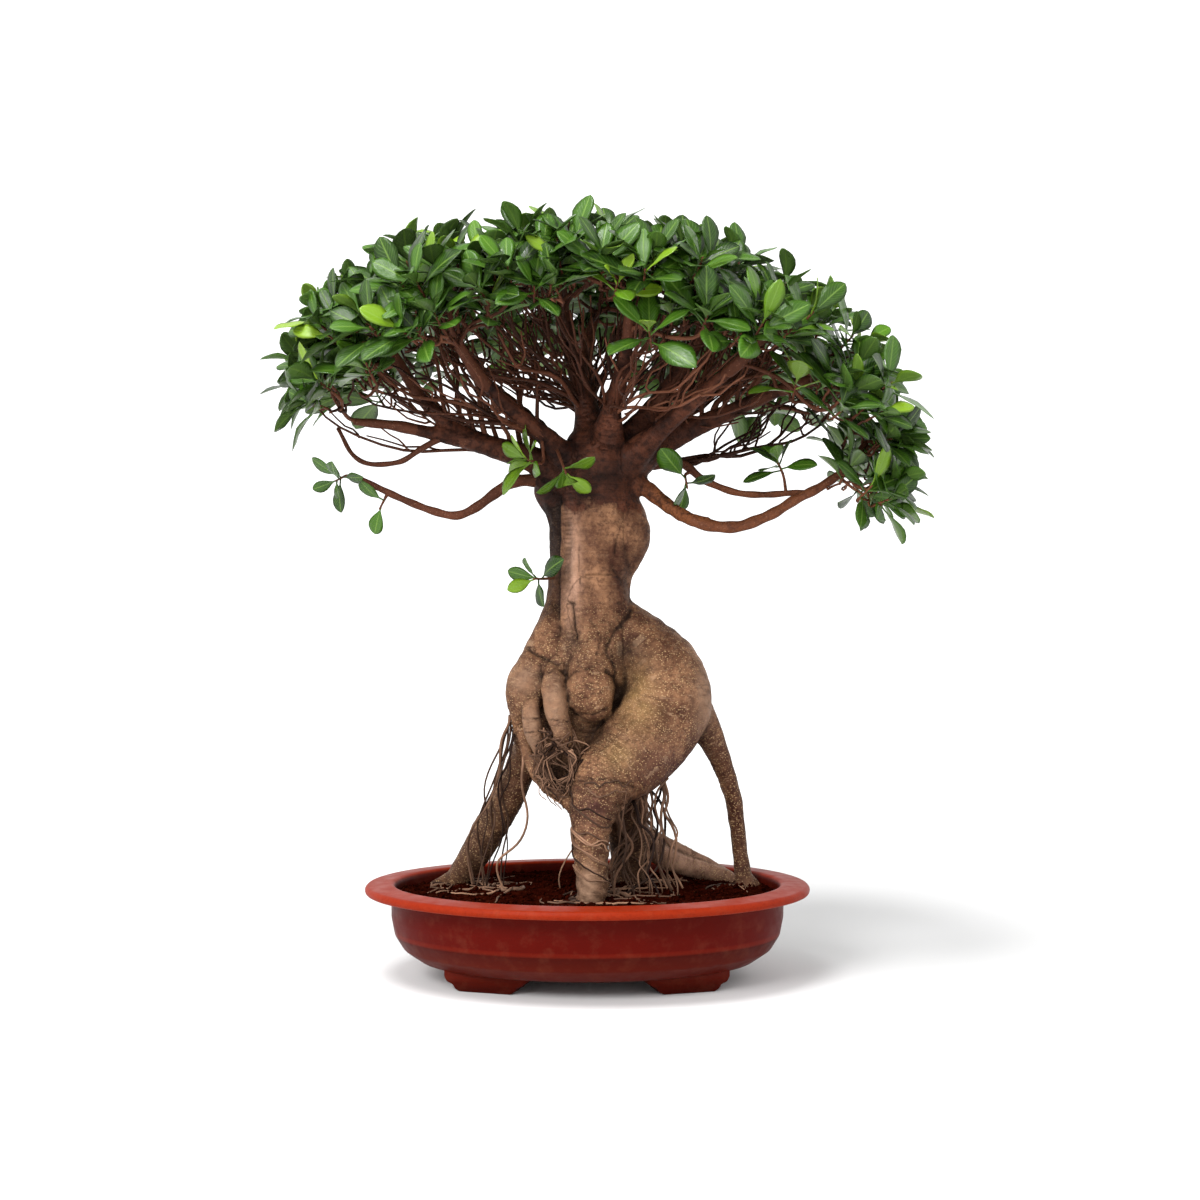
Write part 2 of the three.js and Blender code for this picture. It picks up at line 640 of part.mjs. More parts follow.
function boxOf(body) {
  const { min, max } = body.boundingBox();
  return new THREE.Box3(new THREE.Vector3(...min), new THREE.Vector3(...max));
}

export default build();
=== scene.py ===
"""Dresses the ginseng ficus: living bark, roots, leaves, crumbly soil and a satin pot over the CAD frame."""
import json
import math
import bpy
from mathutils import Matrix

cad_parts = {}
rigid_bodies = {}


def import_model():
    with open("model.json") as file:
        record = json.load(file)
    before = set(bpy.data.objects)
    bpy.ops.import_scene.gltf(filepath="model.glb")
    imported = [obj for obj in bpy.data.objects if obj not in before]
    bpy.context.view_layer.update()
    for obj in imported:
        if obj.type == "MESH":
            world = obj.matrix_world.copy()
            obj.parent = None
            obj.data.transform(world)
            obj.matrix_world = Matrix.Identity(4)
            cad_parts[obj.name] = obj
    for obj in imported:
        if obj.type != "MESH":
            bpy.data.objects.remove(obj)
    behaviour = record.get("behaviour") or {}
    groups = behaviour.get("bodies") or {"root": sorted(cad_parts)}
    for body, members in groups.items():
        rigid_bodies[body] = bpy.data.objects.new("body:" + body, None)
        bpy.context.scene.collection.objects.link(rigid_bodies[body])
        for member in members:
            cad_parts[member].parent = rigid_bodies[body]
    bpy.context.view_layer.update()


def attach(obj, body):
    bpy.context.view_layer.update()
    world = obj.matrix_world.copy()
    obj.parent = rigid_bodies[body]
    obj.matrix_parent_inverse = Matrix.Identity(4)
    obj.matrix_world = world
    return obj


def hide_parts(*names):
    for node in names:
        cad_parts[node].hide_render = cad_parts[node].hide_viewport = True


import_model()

from types import SimpleNamespace

import bpy
import numpy as np
from mathutils import Vector
from mathutils.bvhtree import BVHTree

# Lengths are in millimetres, as in the part's own source, and turn into metres where a mesh is made.
MM = 0.001

# The camera's distance from the trunk, its height and the photograph's scale.
CAMERA_BACK = 2000
CAMERA_HEIGHT = 418
HORIZON_ROW = 573
MM_A_PIXEL = 1.034
FRAME_PIXELS = 1200
SENSOR = 36

# The pot. Its outline at any height is an ellipse whose two half axes differ by the same amount.
POT_X = -13
POT_HALF_LENGTH = 203
POT_HALF_DEPTH = 149
OVAL = POT_HALF_LENGTH - POT_HALF_DEPTH
FLOOR_HALF_LENGTH = 152
RIM_REACH = 27
RIM_TOP = 98.5
RIM_LIP_LOW = 88.5
WALL = 5
INSIDE = POT_HALF_LENGTH - WALL
FOOT_HEIGHT = 14
FOOT_X = 98
FOOT_Y = 68
FOOT_TURN = 0.3
FOOT_HALF_THICK = 15
SOIL_EDGE = 88
SOIL_TOP = 94
CRUMBS = 3000

# The crown: an egg-shaped dome that hangs lower on the right than on the left.
CROWN_BASE = 592
CROWN_HALF_WIDTH = 290
CROWN_HALF_DEPTH = 208
CROWN_HEIGHT = 147
CROWN_SQUARENESS = 0.8
CROWN_DROOP = 0.29
CROWN_EDGE = {"right": -0.1, "left": -0.08, "front": 0.5, "back": 0.45}
CROWN_ROOT = np.array([-2.0, 0.0, 530.0])
SHOOTS = 48
GOLDEN_ANGLE = math.pi * (3 - math.sqrt(5))

# Smaller shoots round each shoot of the crown, and their twigs.
FILL_SHOOTS = 5
FILL_REACH = 46
FILL_DEEPEST = 180
FILL_WIDEST = 280
TWIG_BALANCE = 0.45
FILL_BALANCE = 0.35
TWIG_RADIUS = 1.7

# Boughs thicker than this are part of the rootstock's one skin.
SKIN_FROM = 6.5

# Long thin branches that fan out from the trunk's head, and young ones that stand on two boughs.
FAN_BRANCHES = 84
FAN_BALANCE = 1.2
FAN_LOWEST = 585
RISERS = 9

# Leaves, and the rows and columns of points on a blade.
LEAF_LENGTH = 46
LEAF_WIDTH = 25
LEAF_HALF_THICK = 0.35
PETIOLE = 11
CORE_LENGTH = 22
LEAF_ROWS = np.array([-1.0, -0.45, 0.0, 0.1, 0.24, 0.4, 0.56, 0.72, 0.86, 0.95, 1.0])
LEAF_COLUMNS = np.array([-1.0, -0.5, 0.0, 0.5, 1.0])

# The root legs, the trunk and what bulges from it: stations (x, y, z, radius) from the top down.
ROOTSTOCK = {
    "trunk": [
        (-3, 2, 560, 30), (-3, 0, 535, 40), (-2, 0, 510, 38), (-1, 0, 445, 36.5), (-4, 0, 398, 35),
        (-4, 0, 365, 39), (-6, 0, 335, 44), (-12, 8, 298, 42), (-16, 22, 256, 44), (-13, 28, 218, 42),
        (-6, 28, 186, 30)],
    "rear_trunk": [
        (-46, 12, 535, 14), (-52, 14, 505, 18), (-40, 12, 478, 16), (-36, 12, 431, 16),
        (-38, 9, 385, 19), (-46, 4, 350, 26), (-56, 0, 318, 30)],
    "thigh": [
        (2, 4, 398, 14), (24, 2, 362, 31), (42, 0, 340, 38), (62, -3, 314, 44), (67, -6, 284, 48),
        (50, -14, 252, 46), (30, -28, 229, 43), (8, -42, 209, 35), (-3, -52, 189, 27),
        (-7, -58, 170, 22), (-9, -63, 150, 19), (-9, -67, 126, 17), (-8, -69, 106, 17),
        (-10, -71, 88, 14.5), (-10, -71, 66, 11)],
    "trunk_side": [
        (6, 0, 512, 22), (14, 0, 492, 26), (22, -2, 472, 27), (27, -2, 455, 25.5), (21, 0, 438, 23),
        (8, 0, 418, 22)],
    "trunk_front": [
        (-2, -2, 420, 33), (-4, -8, 385, 32), (-6, -16, 350, 28), (-8, -24, 325, 25), (-9, -32, 300, 25),
        (-9, -32, 282, 21), (-11, -26, 270, 9)],
    "left_shoulder": [
        (-48, 0, 345, 20), (-62, -4, 322, 24), (-73, -8, 302, 24.5), (-79, -8, 284, 19),
        (-84, -5, 268, 9), (-85, -2, 256, 5.5), (-83, 4, 240, 7), (-80, 12, 222, 8)],
    "left_leg": [
        (-40, 20, 282, 22), (-60, 20, 254, 20), (-76, 18, 230, 17), (-85, 22, 208, 15.5),
        (-98, 30, 180, 17), (-115, 38, 151, 17), (-130, 45, 124, 16), (-146, 51, 101, 14.5),
        (-158, 54, 84, 11), (-166, 56, 68, 6)],
    "right_leg": [
        (84, 0, 290, 26), (103, 5, 266, 19), (117, 12, 243, 14), (130, 22, 213, 11), (140, 30, 183, 9.6),
        (145, 36, 151, 8.8), (148, 40, 123, 8.2), (151, 42, 100, 9.6), (154, 42, 84, 12),
        (154, 40, 68, 7)],
    "rear_leg": [
        (8, 18, 205, 34), (22, 24, 178, 27), (30, 33, 150, 22), (32, 40, 118, 20), (32, 44, 92, 17),
        (32, 46, 66, 12)],
    "rear_root": [
        (26, 34, 158, 14), (42, 50, 134, 12.5), (62, 66, 117, 11.5), (86, 78, 105, 11),
        (110, 82, 97, 10.5), (138, 72, 90, 9), (150, 64, 80, 5)],
    "outer_root": [
        (30, 42, 152, 10), (54, 68, 136, 8), (86, 86, 119, 7.2), (116, 88, 104, 7), (136, 78, 93, 6),
        (146, 70, 82, 4)],
    "long_finger": [
        (-46, -28, 322, 8), (-48, -39, 304, 12), (-45, -43, 281, 12.4), (-38, -43, 258, 11),
        (-32, -41, 245, 7), (-30, -40, 241, 4)],
    "short_finger": [
        (-66, -20, 292, 6), (-70, -30, 278, 9.6), (-68, -32, 258, 10), (-63, -30, 239, 7),
        (-59, -27, 224, 4)],
    "cross_root": [
        (-82, -8, 262, 5), (-77, -14, 240, 6), (-66, -20, 212, 6.5), (-50, -26, 196, 7),
        (-34, -34, 186, 7), (-22, -46, 172, 6)],
    "inner_root": [
        (-48, 8, 252, 15), (-52, 4, 228, 17), (-45, 2, 210, 15), (-32, 4, 197, 13), (-18, 8, 188, 11)],
    "left_toe": [(-150, 50, 97, 9), (-166, 52, 92.5, 6), (-182, 52, 86, 3)],
    "right_toe": [(154, 44, 95, 8), (163, 45, 91, 5), (170, 44, 85, 2.5)],
}

# Round swellings, and patches of the bark's paint, some of them painted highlights, painted light or painted
# shade: centres (x, y, z) with their half sizes.
BULGES = {
    "upper_knob": (-52, 8, 503, 15, 14, 17),
    "chest": (-38, -6, 328, 32, 27, 30),
    "knee": (4, -44, 203, 31, 30, 24),
}
PATCHES = {
    # Purple-brown bark, laid thickest on the thigh's low side, where it is also painted shade.
    "purple": [(60, -30, 222, 44, 60, 32), (94, -10, 236, 24, 50, 30), (-8, -90, 180, 20, 30, 20)],
    # A yellowish painted highlight along the thigh's upper rim.
    "olive_highlight": [(38, -34, 285, 20, 40, 38), (20, -60, 236, 16, 40, 16)],
    # Pale bark; the patch on the hip's right edge is painted light.
    "pale": [
        (-45, -46, 285, 13, 14, 32), (-69, -36, 258, 11, 14, 26), (-76, -18, 308, 15, 24, 15),
        (104, -14, 290, 12, 30, 34), (-12, -84, 106, 13, 20, 22)],
    # Pale bark with a painted highlight on the trunk's ridge, and painted light on the rear root.
    "pale_and_painted_light": [(-29, -34, 420, 9, 24, 54), (88, 74, 106, 60, 30, 22)],
    # Dark red bark, which on the right leg is also painted shade.
    "red": [
        (138, 28, 165, 30, 46, 78), (20, -30, 416, 10, 22, 15), (27, -28, 441, 6, 22, 8),
        (104, 0, 250, 14, 30, 16), (47, -10, 456, 4, 24, 13)],
    # Darkens the left leg.
    "darkened": [(-116, 38, 150, 52, 44, 76)],
    # Painted shade in the hollows and under and between the limbs.
    "shade": [
        (-43, -10, 222, 24, 60, 34), (-56, -6, 504, 14, 22, 26), (28, -38, 336, 20, 36, 19),
        (30, -20, 190, 34, 30, 14), (26, 24, 136, 24, 34, 40), (-28, -24, 345, 12, 22, 18),
        (16, -26, 300, 5, 22, 14), (-8, -30, 256, 26, 46, 19), (-4, -30, 516, 40, 60, 20)],
}

# Hanging and wrapping rootlets: points from the wood down to the soil.
ROOTLETS = [
    [(18, -46, 205), (23, -52, 175), (26, -50, 148), (23, -48, 122), (34, -42, 98), (36, -40, 80)],
    [(42, -10, 205), (62, -14, 182), (68, -16, 155), (65, -22, 132), (48, -30, 106), (24, -36, 88),
     (20, -38, 76)],
    [(12, -52, 190), (24, -44, 160), (32, -36, 136), (16, -38, 108), (14, -40, 80)],
    [(34, 0, 198), (40, 6, 165), (52, 8, 140), (62, 2, 112), (74, -6, 82)],
    [(-88, -6, 272), (-101, -8, 246), (-103, -6, 216), (-115, 0, 184), (-134, 12, 150), (-138, 24, 118),
     (-132, 30, 78)],
    [(-77, -14, 240), (-80, -8, 200), (-76, -4, 165), (-84, 2, 140), (-106, 8, 118), (-104, 10, 96),
     (-92, 4, 76)],
]
ROOTLET_RADIUS = 1.6

# Creases in the bark seen from the front, at the depth of the trunk's middle: points (x, z), half width and
# depth. The last is a ridge.
# The bark's paint darkens each crease but the ridge as painted shade.
CREASES = {
    "belly_top": ([(-36, 306), (-26, 316), (-6, 321)], 1.8, 1.4),
    "belly_side": ([(8, 317), (17, 311), (20, 299), (16, 284)], 3.2, 4.5),
    "belly_under": ([(-24, 271), (-8, 271), (8, 277)], 2.2, 2.0),
    "hip": ([(33, 380), (19, 360), (8, 343), (7, 336), (17, 320), (19, 308)], 2.8, 2.6),
    "shoulder": ([(-87, 349), (-65, 333), (-42, 323)], 2.2, 2.4),
    "trunk_crack": ([(-30, 386), (-25, 350)], 1.8, 3.0),
    "trunk_lines": ([(-12, 372), (2, 352), (-4, 334)], 1.4, 0.8),
    "trunk_seam": ([(-21, 448), (-23, 425), (-20, 404)], 1.0, 0.5),
    "trunk_slit": ([(18, 456), (15, 437)], 1.4, 1.6),
    "trunk_hole": ([(-31, 387), (-28, 386)], 2.4, 2.4),
    "trunk_scar": ([(13, 425), (22, 408)], 2.8, 1.0),
    "neck_spot": ([(20, 387), (23, 386)], 1.8, 1.0),
    "finger_top": ([(-54, 316), (-44, 321), (-35, 312)], 2.0, 2.0),
    "knee": ([(-28, 202), (2, 206), (35, 196)], 1.8, 1.8),
    "long_finger_high": ([(-57, 300), (-37, 301)], 1.1, 0.7),
    "long_finger_low": ([(-54, 266), (-30, 264)], 1.3, 0.9),
    "short_finger_high": ([(-79, 268), (-61, 267)], 1.1, 0.7),
    "short_finger_low": ([(-79, 253), (-61, 254)], 1.1, 0.7),
    "trunk_ridge": ([(-37, 486), (-39, 440), (-37, 366)], 4.0, -2.4),
}

# The grafted boughs, from the trunk's head outward.
BOUGHS = {
    "left": [
        (-18, 0, 515, 24), (-55, -5, 530, 15), (-88, -12, 541, 13), (-117, -18, 549, 11),
        (-148, -23, 556, 9), (-180, -28, 562, 7), (-213, -32, 568, 5.5), (-250, -32, 572, 4)],
    "left_upper": [
        (-105, -16, 545, 10), (-150, -24, 567, 8), (-182, -32, 596, 7), (-204, -40, 630, 5.5),
        (-220, -44, 656, 4)],
    "left_front": [
        (-20, -8, 520, 20), (-48, -30, 550, 10.5), (-84, -60, 578, 8.5), (-116, -92, 608, 6.5),
        (-138, -114, 640, 4.5)],
    "left_rear": [
        (-20, 12, 525, 18), (-52, 44, 560, 10), (-98, 84, 602, 8), (-140, 108, 642, 5.5),
        (-160, 118, 674, 4)],
    "middle_rear": [
        (-4, 8, 535, 22), (-10, 34, 586, 10.5), (-14, 70, 636, 8), (-10, 104, 678, 5.5),
        (-4, 118, 704, 4)],
    "middle": [
        (-4, 0, 540, 24), (-16, -8, 594, 11), (-30, -10, 646, 8.5), (-38, -6, 692, 6),
        (-40, -4, 720, 4)],
    "middle_front": [
        (4, -8, 535, 22), (12, -42, 583, 10.5), (24, -82, 628, 8), (28, -116, 664, 5.5),
        (28, -130, 684, 4)],
    "right_upper": [
        (14, 0, 535, 20), (52, -6, 584, 10.5), (86, -14, 632, 8), (112, -18, 674, 5.5),
        (122, -18, 698, 4)],
    "right_front": [
        (18, -8, 522, 20), (60, -38, 562, 10.5), (104, -74, 598, 8), (142, -104, 630, 6),
        (166, -118, 654, 4)],
    "right": [
        (20, 0, 520, 22), (66, -6, 552, 13), (116, -14, 576, 10), (172, -22, 600, 7.5),
        (222, -26, 616, 5.5), (252, -26, 622, 4)],
    "right_rear": [
        (16, 12, 528, 18), (58, 48, 568, 10), (108, 84, 604, 8), (156, 108, 636, 5.5),
        (184, 116, 658, 4)],
    "low_right": [
        (22, -4, 510, 15), (44, -10, 507, 10), (62, -16, 493, 8.4), (81, -22, 479, 7.4),
        (101, -26, 470, 6.8), (121, -28, 466, 6.4), (141, -30, 466, 6.2), (161, -30, 472, 6),
        (178, -30, 479, 5.7), (198, -30, 491, 5.4), (226, -30, 506, 5), (252, -28, 526, 4.2),
        (272, -24, 552, 3)],
    "low_right_rear": [
        (38, 14, 530, 8), (84, 14, 532, 4.6), (106, 10, 516, 4), (124, 6, 508, 3.7), (145, 0, 501, 3.5),
        (170, -8, 498, 3.4), (198, -18, 500, 3.2), (214, -24, 500, 3)],
    "low_left": [
        (-40, 0, 512, 12), (-70, -4, 514, 6.6), (-90, -10, 511, 5.8), (-107, -14, 499, 5.2),
        (-125, -18, 486, 4.6), (-146, -22, 478, 4.2), (-171, -26, 482, 3.8), (-199, -30, 492, 3.5),
        (-224, -34, 504, 3.2), (-246, -38, 515, 2.8)],
    "low_left_rear": [
        (-162, -26, 556, 4), (-183, -28, 544, 3), (-206, -28, 530, 2.8), (-232, -26, 529, 2.6),
        (-254, -24, 541, 2.4), (-268, -20, 566, 2.2)],
}

# Small leafy shoots away from the crown: where the leaves start, their aim, how many, their share of full
# size and how young they are.
SIDE_SHOOTS = {
    "low_left_end": ((-258, -42, 516), (-0.6, -0.7, -0.4), 6, 0.62, 0),
    "low_left_leaf": ((-218, -36, 494), (-0.35, -0.5, -0.8), 2, 0.66, 0),
    "trunk_front": ((-62, -56, 528), (-0.8, -0.4, 0.3), 8, 0.74, 0.5),
    "trunk_front_low": ((-38, -56, 528), (0.3, -0.5, -0.8), 5, 0.8, 0.5),
    "trunk_left": ((-58, -6, 412), (-0.6, -0.8, 0), 5, 0.76, 0),
    "hanging_right": ((88, 0, 518), (0.1, -0.7, -0.7), 4, 0.85, 0),
    "low_right_inner": ((186, -26, 520), (-0.4, -0.5, 0.8), 7, 0.7, 0),
    "low_right_end": ((282, -36, 552), (0.8, -0.5, 0.1), 9, 0.9, 0),
    "low_right_tip": ((256, -42, 504), (0.7, -0.5, -0.5), 8, 0.85, 0),
}


def draw(n):
    """A repeatable draw from 0 to 1 for a whole number."""
    s = math.sin((n + 1) * 127.1) * 43758.5453
    return s - math.floor(s)


def unit(v):
    v = np.asarray(v, float)
    return v / np.linalg.norm(v, axis=-1, keepdims=True)


def ramp(value, start, reach):
    """Rises from 0 to 1 over a reach beyond its start."""
    return np.clip((value - start) / reach, 0, 1)


# Meshes


def solid(name, points, faces, material):
    """A mesh object from points in millimetres."""
    mesh = bpy.data.meshes.new(name)
    mesh.from_pydata((np.asarray(points) * MM).tolist(), [], faces)
    mesh.validate()
    made = bpy.data.objects.new(name, mesh)
    bpy.context.scene.collection.objects.link(made)
    return painted(made, material)


def painted(made, material):
    made.data.polygons.foreach_set("use_smooth", [True] * len(made.data.polygons))
    made.data.materials.clear()
    made.data.materials.append(material)
    return made


def piece(name, points, faces, material, replaces=()):
    """A mesh object that rides on the one body."""
    made = solid(name, points, faces, material)
    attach(made, "root")
    if replaces:
        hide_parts(*replaces)
    return made


def attribute(made, name, values):
    """Keeps one number for each point of a mesh, for its material to read."""
    made.data.attributes.new(name, "FLOAT", "POINT").data.foreach_set("value", np.asarray(values, np.float32))


def read(items, name):
    flat = np.empty(len(items) * 3, np.float32)
    items.foreach_get(name, flat)
    return flat.reshape(-1, 3).astype(float)


def write_points(mesh, points):
    mesh.vertices.foreach_set("co", (points * MM).astype(np.float32).ravel())
    mesh.update()


def relaxed(mesh, points, rounds, share):
    """Points drawn towards the middle of their neighbours, again and again."""
    edges = np.empty(len(mesh.edges) * 2, np.int32)
    mesh.edges.foreach_get("vertices", edges)
    first, second = edges.reshape(-1, 2).T
    ends, others = np.concatenate([first, second]), np.concatenate([second, first])
    count = np.maximum(np.bincount(ends, minlength=len(points)), 1)
    for _ in range(rounds):
        mean = np.stack([np.bincount(ends, points[others, k], len(points)) / count for k in range(3)], axis=1)
        points = points + share * (mean - points)
    return points


class Bag:
    """Collects closed surfaces that become one mesh, with the numbers that its material reads."""

    def __init__(self):
        self.points = []
        self.faces = []
        self.numbers = {}
        self.count = 0

    def add(self, points, faces, **numbers):
        self.points.append(points)
        self.faces += [[i + self.count for i in face] for face in faces]
        self.count += len(points)
        for name, value in numbers.items():
            self.numbers.setdefault(name, []).append(np.broadcast_to(value, len(points)))

    def strand(self, line, thick, thin, sides, seed, tone, flutes=0.05):
        """A tapering tube that is one tone, from 0 to 1."""
        self.add(*tube(line, np.linspace(thick, thin, len(line)), sides, flutes, seed), tone=tone)

    def finish(self, name, material, replaces=()):
        made = piece(name, np.concatenate(self.points), self.faces, material, replaces)
        for number, values in self.numbers.items():
            attribute(made, number, np.concatenate(values))
        return made


def spline(stations, rings):
    """Evenly spaced points and radii along a curve without kinks through stations."""
    knots = np.array([s[:3] for s in stations], float)
    radii = [s[3] for s in stations]
    ends = np.vstack([2 * knots[0] - knots[1], knots, 2 * knots[-1] - knots[-2]])
    steps = np.sqrt(np.linalg.norm(np.diff(ends, axis=0), axis=1))
    places, widths = [], []
    for i in range(len(knots) - 1):
        p0, p1, p2, p3 = ends[i:i + 4]
        t1, t2, t3 = np.cumsum(steps[i:i + 3])
        for t in np.linspace(t1, t2, 13)[:-1]:
            a1 = p0 + (p1 - p0) * t / t1
            a2 = p1 + (p2 - p1) * (t - t1) / (t2 - t1)
            a3 = p2 + (p3 - p2) * (t - t2) / (t3 - t2)
            b1 = a1 + (a2 - a1) * t / t2
            b2 = a2 + (a3 - a2) * (t - t1) / (t3 - t1)
            places.append(b1 + (b2 - b1) * (t - t1) / (t2 - t1))
            widths.append(radii[i] + (radii[i + 1] - radii[i]) * (t - t1) / (t2 - t1))
    places = np.array([*places, knots[-1]])
    run = distances(places)
    at = np.linspace(0, run[-1], rings)
    line = np.stack([np.interp(at, run, places[:, k]) for k in range(3)], axis=1)
    return line, np.interp(at, run, [*widths, radii[-1]])


def distances(line):
    """How far along a line each of its points lies."""
    return np.concatenate([[0], np.cumsum(np.linalg.norm(np.diff(line, axis=0), axis=1))])


def bezier(a, b, c, d, count):
    t = np.linspace(0, 1, count)[:, None]
    return (1 - t) ** 3 * a + 3 * t * (1 - t) ** 2 * b + 3 * t * t * (1 - t) * c + t ** 3 * d


def wiggle(line, size, seed):
    """Small kinks in a thin line, none at its ends."""
    t = np.linspace(0, 1, len(line))
    waves = [np.sin(t * (9 + 4 * draw(seed + k)) + 6.3 * draw(seed * 3 + k)) for k in range(3)]
    return line + np.transpose(waves) * np.sin(math.pi * t)[:, None] * size


def circle(columns):
    return np.arange(columns) * 2 * math.pi / columns


def quads(rings, columns):
    """Faces between rings of points."""
    faces = []
    for i in range(rings - 1):
        for k in range(columns):
            a, b = i * columns + k, i * columns + (k + 1) % columns
            faces.append((a, b, b + columns, a + columns))
    return faces


def disc(rings, columns):
    """Faces round a first point, and on between the rings that follow it."""
    fan = [(0, 1 + k, 1 + (k + 1) % columns) for k in range(columns)]
    return fan + [(1 + a, 1 + d, 1 + c, 1 + b) for a, b, c, d in quads(rings, columns)]


def tube(line, radii, sides, flutes=0.0, seed=0.0):
    """A closed tube round a line, with rounded ends and a slightly uneven section."""
    tangents = unit(np.gradient(line, axis=0))
    normal = unit(np.cross(tangents[0], (0, 0, 1) if abs(tangents[0][2]) < 0.9 else (1, 0, 0)))
    angles = circle(sides)
    rings = []
    for place, tangent, radius in zip(line, tangents, radii):
        normal = unit(normal - tangent * normal.dot(tangent))
        other = np.cross(tangent, normal)
        uneven = 1 + flutes * np.sin(3 * angles + seed + place[2] * 0.03)
        uneven += flutes * np.cos(2 * angles + seed * 1.7)
        ring = np.outer(np.cos(angles) * uneven, normal) + np.outer(np.sin(angles) * uneven, other)
        rings.append(place + ring * radius)
    tips = [line[0] - tangents[0] * radii[0] * 0.5, line[-1] + tangents[-1] * radii[-1] * 0.5]
    faces = quads(len(line), sides)
    n = len(line) * sides
    for k in range(sides):
        after = (k + 1) % sides
        faces += [(n, after, k), (n + 1, n - sides + k, n - sides + after)]
    return np.concatenate([*rings, tips]), faces


def ball(centre, half, columns=28, rows=16):
    """A closed ellipsoid."""
    points = [(0, 0, 1)]
    for i in range(1, rows):
        a = math.pi * i / rows
        r, z = math.sin(a), math.cos(a)
        points += [(r * math.cos(b), r * math.sin(b), z) for b in circle(columns)]
    last = len(points)
    faces = disc(rows - 1, columns)
    faces += [(last, last - columns + (k + 1) % columns, last - columns + k) for k in range(columns)]
    return np.array([*points, (0, 0, -1)]) * half + centre, faces


# Materials


class Signal:
    """What a node gives at each point of a surface, for use in formulas."""

    def __init__(self, paint, socket):
        self.paint = paint
        self.socket = socket

    def __add__(self, other):
        return self.paint.sum("ADD", self, other)

    def __sub__(self, other):
        return self.paint.sum("SUBTRACT", self, other)

    def __mul__(self, other):
        return self.paint.sum("MULTIPLY", self, other)

    def __truediv__(self, other):
        return self.paint.sum("DIVIDE", self, other)

    def most(self, other):
        return self.paint.sum("MAXIMUM", self, other)

    def span(self, low, high, new_low=0.0, new_high=1.0):
        """Turns low into new_low and high into new_high, and goes past neither."""
        return self.paint.node("ShaderNodeMapRange", "Result", self, low, high, new_low, new_high, clamp=True)


class Paint:
    """A material with one principled shader, and short calls for the nodes that feed it."""

    def __init__(self, name, roughness, specular):
        self.material = bpy.data.materials.new(name)
        self.material.use_nodes = True
        self.tree = self.material.node_tree
        self.shader = self.tree.nodes["Principled BSDF"]
        self.place = self.node("ShaderNodeTexCoord", "Object")
        self.set("Roughness", roughness)
        self.set("Specular IOR Level", specular)

    def feed(self, socket, value):
        if isinstance(value, Signal):
            self.tree.links.new(value.socket, socket)
        else:
            socket.default_value = value

    def set(self, name, value):
        self.feed(self.shader.inputs[name], value)

    def node(self, kind, output, *first, **named):
        """A node's output. Values feed its first sockets or named ones. Lower-case names are settings."""
        made = self.tree.nodes.new(kind)
        for key, value in [*enumerate(first), *named.items()]:
            if str(key).islower():
                setattr(made, key, value)
            else:
                self.feed(made.inputs[key], value)
        return Signal(self, made.outputs[output])

    def sum(self, operation, first, second):
        return self.node("ShaderNodeMath", "Value", first, second, operation=operation)

    def axis(self, name):
        return self.node("ShaderNodeSeparateXYZ", name, self.place)

    def number(self, name):
        return self.node("ShaderNodeAttribute", "Fac", attribute_name=name)

    def noise(self, scale, detail=3.0, roughness=0.55, at=None):
        return self.node("ShaderNodeTexNoise", "Fac", Vector=at or self.place, Scale=scale, Detail=detail,
                         Roughness=roughness)

    def wound(self, along, around):
        """Places on the bark by how far they lie along their limb and around it."""
        return self.node("ShaderNodeCombineXYZ", "Vector", self.number("along") * along,
                         self.number("around") * around, self.noise(12, 2))

    def cells(self, scale, height=1.0):
        at = self.node("ShaderNodeMapping", "Vector", self.place, Scale=(1, 1, height))
        return self.node("ShaderNodeTexVoronoi", "Distance", Vector=at, Scale=scale)

    def blend(self, share, first, second):
        """A colour between two, each from a node or given as display values from 0 to 255."""
        made = self.tree.nodes.new("ShaderNodeMix")
        made.data_type = "RGBA"
        for socket, value in zip((0, 6, 7), (share, first, second)):
            self.feed(made.inputs[socket], linear(value) if isinstance(value, tuple) else value)
        return Signal(self, made.outputs[2])

    def tint(self, share, colour, ground=None):
        """Lays a colour over the ground given, or over what is laid already."""
        self.shade = self.blend(share, ground or self.shade, colour)
        self.set("Base Color", self.shade)

    def bump(self, height, distance, strength):
        made = self.node("ShaderNodeBump", "Normal", Height=height, Distance=distance, Strength=strength)
        for link in self.shader.inputs["Normal"].links:
            self.tree.links.new(link.from_socket, made.socket.node.inputs["Normal"])
        self.set("Normal", made)


def linear(colour):
    return tuple((c / 255) ** 2.2 for c in colour) + (1.0,)


def brown_bark(paint):
    """The fig's own red-brown bark, warmer on the low boughs to the right."""
    brown = paint.blend(paint.noise(34, 4).span(0.32, 0.68), (30, 16, 12), (88, 52, 38))
    low = paint.axis("Z").span(0.5, 0.53, 0.8, 0) * paint.axis("X").span(0.03, 0.06)
    brown = paint.blend(low, brown, (112, 68, 42))
    return paint.blend(paint.noise(150, 3, 0.7).span(0.46, 0.66, 0, 0.75), brown, (28, 16, 12))


# Each kind of patch on the bark: its colour and how thick it lies. Some are painted highlights, painted light
# or painted shade.
PATCH_TINTS = {
    "olive_highlight": ((146, 116, 74), 0.7), "purple": ((66, 40, 38), 1), "pale": ((148, 118, 96), 0.85),
    "pale_and_painted_light": ((190, 148, 124), 0.9), "red": ((42, 14, 10), 1), "darkened": ((62, 44, 34), 0.9),
}


